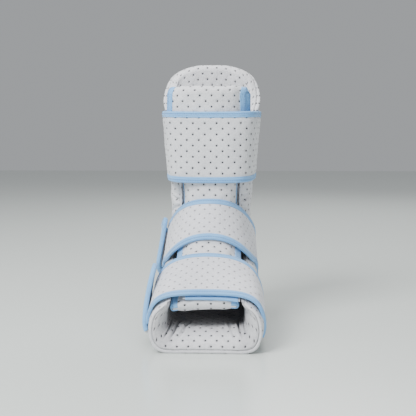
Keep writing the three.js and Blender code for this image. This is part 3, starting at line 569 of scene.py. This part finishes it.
def makeLiner():
    # the padded lining: from just inside the cover to the body's inner skin, thinning in a roll to the toe mouth
    # and the rim, with clouds of swelling, and creases that are bells across slanted lines with raised sides
    at, across, toMouth, toRim = bodyGrid(1.0)
    full = rounded(toMouth, shell["mouthRoll"]) * rounded(toRim, shell["rimRoll"])

    def start(t):
        below = np.minimum(0.6, coverShare(t) + shell["seamGap"] / np.maximum(t, 1e-6))
        return mix(below, 0.0, smooth(*linerLook["flush"], np.abs(across)))

    outer = bodyPoint(at, across, lambda t: np.where(t < 1, 0.5, start(t)))
    inner = bodyPoint(at, across, lambda t: np.where(t < 1, 0.5, mix(start(t), 1, full)))
    uv = gridUv(inner)
    way = facing(inner, inner - outer)
    calm = smooth(0.0, 0.04, 1 - np.abs(across)) * smooth(0.0, 3.0, toMouth) * smooth(0.0, 4.0, toRim)
    swell = sum(height * ripples(uv[..., 0], uv[..., 1], size, seed) for height, size, seed in linerLook["clouds"])
    for place, lean, width, depth, length in linerLook["creases"]:
        line = place + lean * toMouth / 30
        fall = smooth(1.0, 14.0, toMouth) * smooth(length + 30, length, toMouth)
        swell -= depth * bump(across, line, width * (0.7 + toMouth / 60)) * fall
        swell += 0.35 * depth * bump(np.abs(across - line), width * 2.4, width * 1.2) * fall
    inner = inner + way * (calm * swell + wingFolds(inner, across))[..., None]
    return makeQuilt("inner_liner_padded", inner, outer, uv, fabrics["lining"], ["inner_liner"])


cover = makeCover()
liner = makeLiner()
print("shell made")

pads = {
    "thickness": 9.0, "endThickness": 14.0, "tapeWidth": 6.5, "columns": 72,
    # length of the shin pad's folded part and the space in its fold
    "folded": 42.0, "foldGap": 3.2,
    # how far the shin pad's sides tuck in between the two upper straps, and how much wider its middle gets there
    "tuck": 0.3, "widening": 1.05, "tuckFrom": (0.62, 0.68), "tuckTo": (0.84, 0.79), "fallPower": 2.4,
    # ends of the two pads on their common line, and how much of the instep pad's length its thick end takes
    "instepEnd": 0.6, "shinStart": 0.64, "thickPart": 0.22,
    # share of the thickness left at the bindings, and the crown beside them
    "pinched": 0.66, "crown": 1.1,
    # shifts to the side: of the instep pad's thick end, with its lean, and of the shin pad's top and folded part
    "toeSkew": -1.7, "toeRoll": 0.05, "topSkew": -5.5, "backSkew": 1.5,
}


def padLine(at):
    # the pads' outer face in the side view, with its outward way from the points a little ahead and behind
    def place(a):
        return (heelY - shell["footLength"] * tableValue(instepLine, "ahead", a),
                shell["bootHeight"] * tableValue(instepLine, "up", a))

    y, z = place(at)
    aheadY, aheadZ = place(np.minimum(1, at + 0.004))
    behindY, behindZ = place(np.maximum(0, at - 0.004))
    run = np.hypot(aheadY - behindY, aheadZ - behindZ)
    return y, z, -(aheadZ - behindZ) / run, (aheadY - behindY) / run


def padFrame(shape, at, thickness):
    # a pad's stations: its line, half width, how far its sides fall back, its thickness, shifts and tuck
    y, z, outY, outZ = padLine(at)
    half = tableValue(shape, "half", at)
    still = np.zeros(at.shape)
    return {"y": y, "z": z, "outY": outY, "outZ": outZ, "half": half, "fall": half * tableValue(shape, "fall", at),
            "thickness": still + thickness, "shift": still, "skew": still, "roll": still,
            "tuck": pads["tuck"] * smooth(*pads["tuckFrom"], at) * smooth(*pads["tuckTo"], at)}


def padPoint(line, side, height):
    # a point of a pad: side runs from -1 to 1 across it, height from 0 on its under face to its thickness. The
    # sides fall back by a power of the distance from the middle.
    part = {key: value[:, None] for key, value in line.items()}
    tuck = part["tuck"] * np.abs(side) ** 4
    back = part["fall"] * np.abs(side) ** pads["fallPower"] * (1 + 0.5 * tuck)
    rise = height - part["thickness"] - back * (1 - part["shift"])
    x = side * (1 - tuck) * (1 + part["tuck"] * pads["widening"]) * part["half"] + part["skew"]
    z = part["z"] + part["outZ"] * rise + part["roll"] * x
    return np.stack([x, part["y"] + part["outY"] * rise + back * part["shift"], z], -1)


def instepStations():
    # the instep pad along its line, thick at its toe end, with the height of its two round ends
    share = np.concatenate([0.04 * np.linspace(0, 1, 14) ** 1.6, np.linspace(0.04, 0.98, 90)[1:],
                            1 - 0.02 * np.linspace(1, 0, 8)[1:] ** 1.6])
    thickness = mix(pads["endThickness"], pads["thickness"], np.clip(share / pads["thickPart"], 0, 1))
    line = padFrame(instepShape, pads["instepEnd"] * share, thickness)
    line["skew"] = pads["toeSkew"] * smooth(0.4, 0.05, share)
    line["roll"] = pads["toeRoll"] * smooth(0.3, 0.05, share)
    return line, np.minimum(rounded(share, 0.04), rounded(1 - share, 0.02))


def shinStations():
    # the shin pad along its line, round a half circle at its top and straight down behind, with the height of its
    # two round ends
    share = np.concatenate([0.03 * np.linspace(0, 1, 8) ** 1.6, np.linspace(0.03, 1, 84)[1:]])
    front = padFrame(shinShape, mix(pads["shinStart"], 1, share), pads["thickness"])
    front["shift"] = np.clip((share - 0.48) / 0.34, 0, 1)
    front["skew"] = pads["topSkew"] * smooth(0.25, 0.85, share)
    radius = pads["thickness"] + pads["foldGap"] / 2
    angle = np.radians(np.linspace(0, 180, 25)[1:])
    down = 1 - (1 - np.linspace(0, 1, 26)[1:]) ** 1.3
    top = {key: value[-1] for key, value in front.items()}
    fold = {key: np.full(len(angle), value) for key, value in top.items()}
    fold.update(y=top["y"] + radius * (1 - np.cos(angle)), z=top["z"] + radius * np.sin(angle),
                outY=-np.cos(angle), outZ=np.sin(angle),
                skew=mix(pads["topSkew"], pads["backSkew"], angle / math.pi))
    behind = {key: np.full(len(down), value) for key, value in top.items()}
    behind.update(y=np.full(len(down), top["y"] + 2 * radius), z=top["z"] - down * pads["folded"],
                  outY=np.ones(len(down)), outZ=np.zeros(len(down)), skew=np.full(len(down), pads["backSkew"]))
    line = {key: np.concatenate([front[key], fold[key], behind[key]]) for key in front}
    return line, np.concatenate([rounded(share, 0.03), np.ones(len(angle)), rounded(1 - down, 0.06)])


def padThickness(line, side):
    # full in the middle, thinner under the bindings, where the tape pinches the foam
    inside = (1 - np.abs(side)) * line["half"][:, None]
    share = mix(pads["pinched"], 1, smooth(1.5, 15, inside))
    return line["thickness"][:, None] * share + pads["crown"] * bump(inside, 15, 7)


def makePad(name, line, ends, seed):
    # two skins half a thickness off the pad's middle face, meeting in round sides and ends, with clouds of swelling
    # on the outer one
    half = 1 - (1 - np.linspace(0, 1, pads["columns"])) ** 1.4
    side = np.concatenate([-half[:0:-1], half])[None, :] * np.ones((len(ends), 1))
    inside = (1 - np.abs(side)) * line["half"][:, None]
    thick = padThickness(line, side)
    middle = line["thickness"][:, None] * 0.5
    lean = rounded(inside, 1.6) * ends[:, None]
    uv = gridUv(padPoint(line, side, middle))
    puff = 0.5 * ripples(uv[..., 0], uv[..., 1], 40, seed) + 0.25 * ripples(uv[..., 0], uv[..., 1], 15, seed + 1)
    puff = puff * smooth(6, 16, inside)
    outer = padPoint(line, side, middle + (thick * 0.5 + puff) * lean)
    inner = padPoint(line, side, middle - thick * 0.5 * lean)
    pad = makeQuilt(name + "_soft", outer, inner, gridUv(outer), fabrics["pad"], [name])


tapes = {
    "thickness": 0.9, "innerGap": 0.08, "skinPoints": 9, "foldPoints": 11,
    # how far the tape stands off past the edge, its crown, and the depth and half width of its seams' dents
    "nose": 0.55, "crown": 0.25, "pinch": 0.35, "pinchWidth": 0.8,
}


def makeTape(name, edge, inside, up, insideUp, out, bottom, thickness, material, seams, node):
    # a tape folded over a cloth's edge: a U-shaped profile carried along the edge, as a closed ring of points
    # whose outer and inner half are the tape's two faces. Bottom is the height of the cloth's under face and
    # thickness the cloth's own, both along the edge.
    width = np.linalg.norm(inside - edge, axis=-1)[:, None, None]
    flat = np.linspace(0, 1, tapes["skinPoints"])[None, :, None]
    angle = np.linspace(math.pi / 2, -math.pi / 2, tapes["foldPoints"])[None, :, None]
    middle = (bottom + thickness / 2)[:, None, None]
    half = (thickness / 2)[:, None, None]

    def skin(lift, tight):
        pinch = sum(bump(width * (1 - flat), place, tapes["pinchWidth"]) for place in seams) * tapes["pinch"]
        crown = (tapes["crown"] * np.sin(math.pi * flat) - pinch) * tight
        ground = mix(inside[:, None], edge[:, None], flat)
        ways = mix(insideUp[:, None], up[:, None], flat)
        top = ground + ways * (middle + half + lift + crown)
        under = ground + ways * (middle - half - lift - crown)
        nose = out[:, None] * (np.cos(angle) * (lift + tapes["nose"] * half))
        turn = edge[:, None] + nose + up[:, None] * (middle + (half + lift) * np.sin(angle))
        return np.concatenate([top, turn[:, 1:-1], under[:, ::-1]], axis=1)

    outer = skin(tapes["thickness"], 1.0)
    inner = skin(tapes["innerGap"], 0.0)
    ring = np.concatenate([outer, inner[:, ::-1]], axis=1)
    rows, count = ring.shape[:2]
    index = np.arange(rows * count).reshape(rows, count)
    nextIndex = np.roll(index, -1, axis=1)
    sides = np.stack([index[:-1], nextIndex[:-1], nextIndex[1:], index[1:]], -1).reshape(-1, 4)
    pairs = outer.shape[1]
    k = np.arange(pairs - 1)
    cap = np.stack([k, count - 1 - k, count - 2 - k, k + 1], -1)
    faces = np.concatenate([sides, index[0][cap], index[-1][cap][:, ::-1]])
    points = ring.reshape(-1, 3)
    length = np.concatenate([[0], np.linalg.norm(np.diff(edge, axis=0), axis=-1).cumsum()])
    v = np.concatenate([[0], np.linalg.norm(np.diff(outer, axis=1), axis=-1).mean(axis=0).cumsum()])
    v = v - v[-1] / 2
    uv = np.stack(np.broadcast_arrays(length[:, None], np.concatenate([v, v[::-1]])), -1).reshape(-1, 2)
    piece = addPiece(name, points, closedFaces(points, faces).tolist(), uv, material, [node])


def makePadTape(name, line, ends, sideSign, node):
    # the binding along one side of a pad, on its stations between the ends' last thin rows, turned with the pad's
    # side and thinner where the side turns away
    keep = ends > 0.02
    part = {key: value[keep] for key, value in line.items()}
    sideHalf, middle = part["half"], part["thickness"][:, None] / 2
    count = len(sideHalf)
    outward = np.stack([np.zeros(count), part["outY"], part["outZ"]], -1)
    edge = padPoint(part, np.full((count, 1), sideSign * 1.0), middle)[:, 0]
    inside = padPoint(part, sideSign * (1 - pads["tapeWidth"] / sideHalf)[:, None], middle)[:, 0]
    thick = padThickness(part, np.full((count, 1), sideSign * (1 - 2.5 / sideHalf.mean())))[:, 0]
    out = unit(edge - inside)
    up = unit(np.cross(np.gradient(edge, axis=0), out))
    slope = (up * outward).sum(-1, keepdims=True)
    up = np.where(slope < 0, -up, up)
    thick = thick * ends[keep] * mix(1.0, np.abs(slope[:, 0]), 0.8)
    makeTape(name, edge, inside, up, up, out, -thick / 2, thick, padTape, tapeLook["padSeams"], node)


for name, (line, ends), seed in (("instep_pad", instepStations(), 21), ("shin_pad", shinStations(), 31)):
    makePad(name, line, ends, seed)
    for side, sideSign in (("left", -1), ("right", 1)):
        makePadTape(f"{name}_tape_{side}", line, ends, sideSign, f"{name}_binding_{side}")
print("pads made")

strapLook = {
    "thickness": 2.8, "lift": 1.8, "tapeWidth": 6.5, "overLining": 5.1, "rows": 240, "columns": 44,
    # how near the straps' cloth comes to their ends, and the share of its thickness that the bindings fold over
    "cut": 0.98, "pressed": 0.8,
    # share of the thickness left under the bindings, and the fullness just inside them
    "pinched": 0.78, "crown": 0.1,
}


def makeRun(*rows):
    # where a strap's two edges lie on the wall, from its shoulder to its sewn end, in the body's places
    return makeTable("at lowerAt lowerAcross upperAt upperAcross", *rows)


# each strap: where its edges cross the pads' line, how far they are lifted there, the two handles of the curve over
# the pads as shares of its span, and how much of its run on the wall the viewer's left end keeps
straps = {
    "calf": {
        "run": makeRun((0, 2.467, 0.75, 2.772, 0.75), (0.4, 2.467, 0.64, 2.772, 0.64), (1, 2.467, 0.47, 2.772, 0.47)),
        "lower": 0.766, "upper": 0.948, "lowerLift": 0.4, "upperLift": 0.4, "crown": 0.92, "wrap": 0.9, "leftEnd": 1.0},
    "ankle": {
        "run": makeRun((0, 0.7, 0.9, 2.28, 0.88), (0.4, 0.86, 0.81, 2.24, 0.77), (1, 1.28, 0.68, 2.17, 0.62)),
        "lower": 0.53, "upper": 0.705, "lowerLift": 0.4, "upperLift": 0.6, "crown": 0.64, "wrap": 0.44, "leftEnd": 0.4},
    "foot": {
        "run": makeRun((0, 0.07, 0.78, 0.47, 0.79), (0.4, 0.1, 0.67, 0.49, 0.67), (1, 0.14, 0.52, 0.52, 0.49)),
        "lower": 0.025, "upper": 0.41, "lowerLift": strapLook["overLining"], "upperLift": 0.4,
        "crown": 0.68, "wrap": 0.4, "leftEnd": 0.4},
}


def wallPoint(at, across, lift, sideSign):
    # a place on a side wall, lifted off the cover along its outward way, which is the cross product of the ways
    # along and across the skin
    def skin(a, c):
        return bodyPoint(a, c, 0.0)

    along = skin(at + 0.004, across) - skin(at - 0.004, across)
    sideways = skin(at, across + 0.004) - skin(at, across - 0.004)
    way = unit(np.cross(along, sideways))
    way = np.where((way @ np.array([1, 0, 0.2]))[..., None] < 0, -way, way)
    point = skin(at, across) + way * lift
    point[..., 0] = point[..., 0] * sideSign
    return point


def strapEdge(strap, edge, reach):
    # the under face of a strap along one edge: a cubic curve of four weighted points from the crown over the pads to
    # the wall's shoulder at half reach, then along the wall to the sewn end at 1
    sideSign = np.where(reach < 0, -1.0, 1.0)
    end = np.where(reach < 0, strap["leftEnd"], 1.0)
    share = np.abs(reach) * 2

    def wall(along):
        at, across = (tableValue(strap["run"], edge + key, along) for key in ("At", "Across"))
        return wallPoint(at, across, strapLook["lift"], sideSign)

    y, z, outY, outZ = (float(value) for value in padLine(np.array(strap[edge])))
    lift = strapLook["lift"] + strap[edge + "Lift"]
    crown = np.array([0, y + outY * lift, z + outZ * lift])
    shoulder = wall(np.zeros_like(reach))
    tangent = unit(shoulder - wall(np.full_like(reach, 0.1)))
    span = np.abs(shoulder[:, [0]])
    p1 = crown + np.array([1, 0, 0]) * sideSign[:, None] * span * strap["crown"]
    p2 = shoulder + tangent * span * strap["wrap"]
    t = np.clip(share, 0, 1)[:, None]
    u = 1 - t
    bridge = u**3 * crown + 3 * u * u * t * p1 + 3 * u * t * t * p2 + t**3 * shoulder
    return np.where((share > 1)[:, None], wall(np.clip(share - 1, 0, 1) * end), bridge)


def bandGrid(lower, upper, across):
    # a band straight across between two edges: points, the way across it and the way off its outer face
    low, high = lower[:, None], upper[:, None]
    points = mix(low, high, across[None, :, None])
    tangent = np.gradient(points, axis=0)
    crossing = unit(high - low) + 0 * points
    return points, crossing, unit(np.cross(tangent, crossing))


def clothFill(inside):
    # the share of a flat cloth's thickness at a distance inside its edges: less where a binding pinches it
    return mix(strapLook["pinched"], 1, smooth(4, 11, inside))


def closeAtSides(columns):
    # places across from 0 to 1 that lie closer together at both sides
    half = 0.5 * np.linspace(0, 1, columns // 2) ** 1.4
    return np.concatenate([half, 1 - half[-2::-1]])


def clothSkins(points, up, thickness, fill, lean):
    # the two faces of a flat cloth: the outer by its fill and the inner at 0, meeting at half thickness where
    # lean is 0
    outer = points + up * (thickness * 0.5 + (fill - thickness * 0.5) * lean)[..., None]
    inner = points + up * (thickness * 0.5 - thickness * 0.5 * lean)[..., None]
    return outer, inner


def makeBand(name, lower, upper, thickness, seed, bindings, fabric):
    # a flat strap of laminated cloth between two edges, pressed under its bindings and a little fuller and uneven
    # between them, and its bindings
    width = np.linalg.norm(upper - lower, axis=-1)
    across = closeAtSides(strapLook["columns"])
    points, crossing, up = bandGrid(lower, upper, across)
    inset = np.minimum(across, 1 - across)[None, :] * width[:, None]
    rows = np.linspace(0, 1, len(lower))[:, None]
    uv = gridUv(points.transpose(1, 0, 2)).transpose(1, 0, 2)
    fill = clothFill(inset) + strapLook["crown"] * bump(inset, 11, 5)
    wave = 0.32 * ripples(uv[..., 0], uv[..., 1], 44, seed) + 0.12 * ripples(uv[..., 0], uv[..., 1], 17, seed + 1)
    wave = np.maximum(wave * smooth(5, 14, inset), -0.5)
    lean = rounded(inset, 1.2) * rounded(np.minimum(rows, 1 - rows), 0.012)
    outer, inner = clothSkins(points, up, thickness, thickness * fill + wave, lean)
    piece = makeQuilt(name + "_cloth", outer, inner, uv, fabrics[fabric], [name])
    steps = np.linalg.norm(np.diff(mix(lower, upper, 0.5), axis=0), axis=-1)
    keep = slice(3, -3)
    sideUp = bandGrid(lower, upper, np.array([0.0, 1.0]))[2]
    bottom = np.zeros(len(lower))[keep]
    for edge, tapeNode in bindings.items():
        start, inward, near = {"lower": (lower, crossing[:, 0], sideUp[:, 0]),
                               "upper": (upper, -crossing[:, -1], sideUp[:, -1])}[edge]
        inside = (start + inward * strapLook["tapeWidth"])[keep]
        makeTape(name + "_tape_" + edge, start[keep], inside, near[keep], near[keep], -inward[keep], bottom,
                 bottom + thickness * strapLook["pressed"], strapTape, tapeLook["strapSeams"], tapeNode)


for number, (name, strap) in enumerate(straps.items()):
    reach = np.linspace(-strapLook["cut"], strapLook["cut"], strapLook["rows"])
    lower, upper = (strapEdge(strap, edge, reach) for edge in ("lower", "upper"))
    bindings = {edge: f"{name}_strap_binding_{edge}" for edge in ("lower", "upper")}
    makeBand(name + "_strap", lower, upper, strapLook["thickness"], 40 + number, bindings,
             "calf" if name == "calf" else "strap")
print("straps made")

lining = {"thickness": 1.5, "ahead": 6.0, "depth": 0.22, "from": -0.12, "to": 0.2, "rows": 60}


def makeStrapLining():
    # the lining under the front edge of the foot strap: a band that starts a little ahead of the strap's edge,
    # more so on one side, and lies as far under it as the strap is lifted
    reach = np.linspace(lining["from"], lining["to"], lining["rows"])
    low, high = (strapEdge(straps["foot"], edge, reach) for edge in ("lower", "upper"))
    up = bandGrid(low, high, np.array([0.0, 1.0]))[2][:, 0]
    ahead = lining["ahead"] * (0.4 + reach) / np.linalg.norm(high - low, axis=-1)
    shift = up * -strapLook["overLining"]
    makeBand("foot_strap_lining", mix(low, high, -ahead[:, None]) + shift, mix(low, high, lining["depth"]) + shift,
             lining["thickness"], 51, {"lower": "foot_strap_lining_binding"}, "strap")


makeStrapLining()

tabLook = {"corner": 12.0, "thickness": 5.0, "bindingFrom": 0.12, "rows": 60, "columns": 36}


def makeTabRun(*rows):
    # a tab's two edges from its sewn foot to its free end, as shares of the foot's length ahead of the heel, of the
    # boot's height and of the toe's half width
    return makeTable("at lowerY lowerZ lowerX upperY upperZ upperX", *rows)


tabs = {
    "ankle_tab": makeTabRun(
        (0, 0.155, 0.13, 0.939, 0.0765, 0.3155, 0.894), (0.4, 0.227, 0.16, 0.985, 0.149, 0.349, 0.993),
        (0.6, 0.263, 0.175, 1.03, 0.185, 0.366, 0.985), (1, 0.335, 0.2056, 1.07, 0.257, 0.4, 0.9)),
    "foot_tab": makeTabRun(
        (0, 0.88, 0.039, 0.969, 0.618, 0.039, 0.94), (0.16, 0.8725, 0.062, 1.08, 0.618, 0.064, 1.08),
        (0.5, 0.845, 0.127, 1.085, 0.6255, 0.13, 1.101), (0.75, 0.81, 0.1915, 1.035, 0.633, 0.197, 1.06),
        (1, 0.7745, 0.2535, 0.965, 0.641, 0.259, 0.98)),
}


def tabPlace(run, along, across):
    # a place on a tab's under face, from its sewn foot to its free end and from its front to its rear edge
    def corner(edge):
        return np.stack([-shell["toeWidth"] / 2 * tableValue(run, edge + "X", along),
                         heelY - shell["footLength"] * tableValue(run, edge + "Y", along),
                         shell["bootHeight"] * tableValue(run, edge + "Z", along)], -1)

    return mix(corner("lower"), corner("upper"), np.asarray(across, float)[..., None])


def tabFrame(run, along, across):
    # a tab's place with its ways: towards its free end, towards its rear edge and outwards
    forth = unit(tabPlace(run, along + 0.01, across) - tabPlace(run, along - 0.01, across))
    sideways = unit(tabPlace(run, along, np.ones_like(along)) - tabPlace(run, along, np.zeros_like(along)))
    up = unit(np.cross(forth, sideways))
    up = np.where(up[..., [0]] > 0, -up, up)
    return tabPlace(run, along, across), forth, sideways, up


def makeTab(name, run):
    # a tab with two round corners at its free end, bound along its front edge, free end and rear edge: its rows get
    # shorter along the corners' quarter circles
    thickness, corner = tabLook["thickness"], tabLook["corner"]
    foot, end, middle = np.array([0.0]), np.array([1.0]), np.array([0.5])
    length = float(np.linalg.norm(tabPlace(run, foot, middle) - tabPlace(run, end, middle)))
    width = float(np.linalg.norm(tabPlace(run, end, foot) - tabPlace(run, end, end)))
    bend = corner / length
    angle = np.linspace(0, math.pi / 2, 16)
    straight = np.linspace(0, 1 - bend, tabLook["rows"])[:-1]
    along = np.concatenate([straight, 1 - bend * (1 - np.sin(angle))])
    inset = np.concatenate([0 * straight, corner / width * (1 - np.cos(angle))])
    turn = np.concatenate([0 * straight, angle])
    share = closeAtSides(tabLook["columns"])
    across = inset[:, None] + (1 - 2 * inset[:, None]) * share
    alongGrid = np.broadcast_to(along[:, None], across.shape)
    point, _, _, up = tabFrame(run, alongGrid, across)
    inside = np.minimum(np.minimum(share, 1 - share) * (1 - 2 * inset[:, None]) * width, (1 - alongGrid) * length)
    lean = rounded(inside, 1.2) * rounded(alongGrid, 0.02)
    outer, inner = clothSkins(point, up, thickness, thickness * clothFill(inside), lean)
    piece = makeQuilt(name + "_cloth", outer, inner, gridUv(point), fabrics["strap"], [name])
    meanWidth = float(np.linalg.norm(tabPlace(run, middle, foot) - tabPlace(run, middle, end)))

    # the binding's path: up the front edge, across the free end and down the rear edge
    bound = along > tabLook["bindingFrom"]
    ends = np.ones(len(share) - 2)
    pathAlong = np.concatenate([along[bound], ends, along[bound][::-1]])
    pathAcross = np.concatenate([inset[bound], across[-1, 1:-1], 1 - inset[bound][::-1]])
    outForth = np.concatenate([np.sin(turn[bound]), ends, np.sin(turn[bound])[::-1]])
    outSide = np.concatenate([-np.cos(turn[bound]), 0 * ends, np.cos(turn[bound])[::-1]])
    edge, forth, sideways, up = tabFrame(run, pathAlong, pathAcross)
    inside, _, _, insideUp = tabFrame(run, pathAlong - strapLook["tapeWidth"] * outForth / length,
                                      pathAcross - strapLook["tapeWidth"] * outSide / width)
    out = unit(forth * outForth[:, None] + sideways * outSide[:, None])
    bottom = np.zeros(len(pathAlong))
    makeTape(name + "_tape", edge, inside, up, insideUp, out, bottom, bottom + thickness * strapLook["pressed"],
             strapTape, tapeLook["strapSeams"], name + "_binding")


for name, run in tabs.items():
    makeTab(name, run)
print("tabs made")

view = {"azimuth": 2.2, "elevation": 5.7, "focalPixels": 783.0, "place": (0.0376, -1.025, 0.262), "imageSize": 416}


def addLooking(name, data, place, forward):
    # a camera or lamp at a place, turned to look along a way with its top up
    thing = bpy.data.objects.new(name, data)
    thing.matrix_world = Matrix.Translation(place) @ forward.to_track_quat("-Z", "Y").to_matrix().to_4x4()
    bpy.context.scene.collection.objects.link(thing)
    return thing


def makeCamera():
    # the camera stands where the picture's perspective puts it, with the focal length fitted in pixels
    a, e = math.radians(view["azimuth"]), math.radians(view["elevation"])
    forward = Vector((-math.sin(a) * math.cos(e), math.cos(a) * math.cos(e), -math.sin(e)))
    data = bpy.data.cameras.new("front_camera")
    data.sensor_width = 36
    data.lens = view["focalPixels"] / view["imageSize"] * data.sensor_width
    bpy.context.scene.camera = addLooking("front_camera", data, view["place"], forward)


studio = {
    "aim": (0, 0, 0.16),
    "lights": {
        "key": {"place": (-1.0, -1.1, 1.6), "size": 0.9, "power": 68},
        "fill": {"place": (0.6, -1.7, 0.4), "size": 1.2, "power": 13},
        "top": {"place": (-0.1, 0.2, 1.9), "size": 1.2, "power": 24},
        "back": {"place": (0.5, 1.5, 1.3), "size": 1.2, "power": 14},
    },
    "sky": (0.9, 0.93, 0.96, 1), "skyStrength": 0.42,
    "floor": (0.62, 0.66, 0.63, 1), "floorRoughness": 0.22, "floorHalf": 4,
}


def makeLights():
    # square soft boxes aimed at the boot's middle, and an even pale sky
    for name, light in studio["lights"].items():
        data = bpy.data.lights.new(name, "AREA")
        data.shape, data.size, data.energy = "SQUARE", light["size"], light["power"]
        place = Vector(light["place"])
        addLooking(name, data, place, Vector(studio["aim"]) - place)
    world = bpy.data.worlds.new("studio")
    world.use_nodes = True
    sky = world.node_tree.nodes["Background"]
    sky.inputs["Color"].default_value = studio["sky"]
    sky.inputs["Strength"].default_value = studio["skyStrength"]
    bpy.context.scene.world = world


def makeFloor():
    # one square at height 0
    mesh = bpy.data.meshes.new("floor")
    half = studio["floorHalf"]
    mesh.from_pydata([(-half, -half, 0), (half, -half, 0), (half, half, 0), (-half, half, 0)], [], [(0, 1, 2, 3)])
    paint = bpy.data.materials.new("pale_floor")
    paint.use_nodes = True
    shader = paint.node_tree.nodes["Principled BSDF"]
    shader.inputs["Base Color"].default_value = studio["floor"]
    shader.inputs["Roughness"].default_value = studio["floorRoughness"]
    mesh.materials.append(paint)
    floor = bpy.data.objects.new("floor", mesh)
    bpy.context.scene.collection.objects.link(floor)


makeCamera()
makeLights()
makeFloor()
bpy.context.view_layer.update()
print("scene ready")
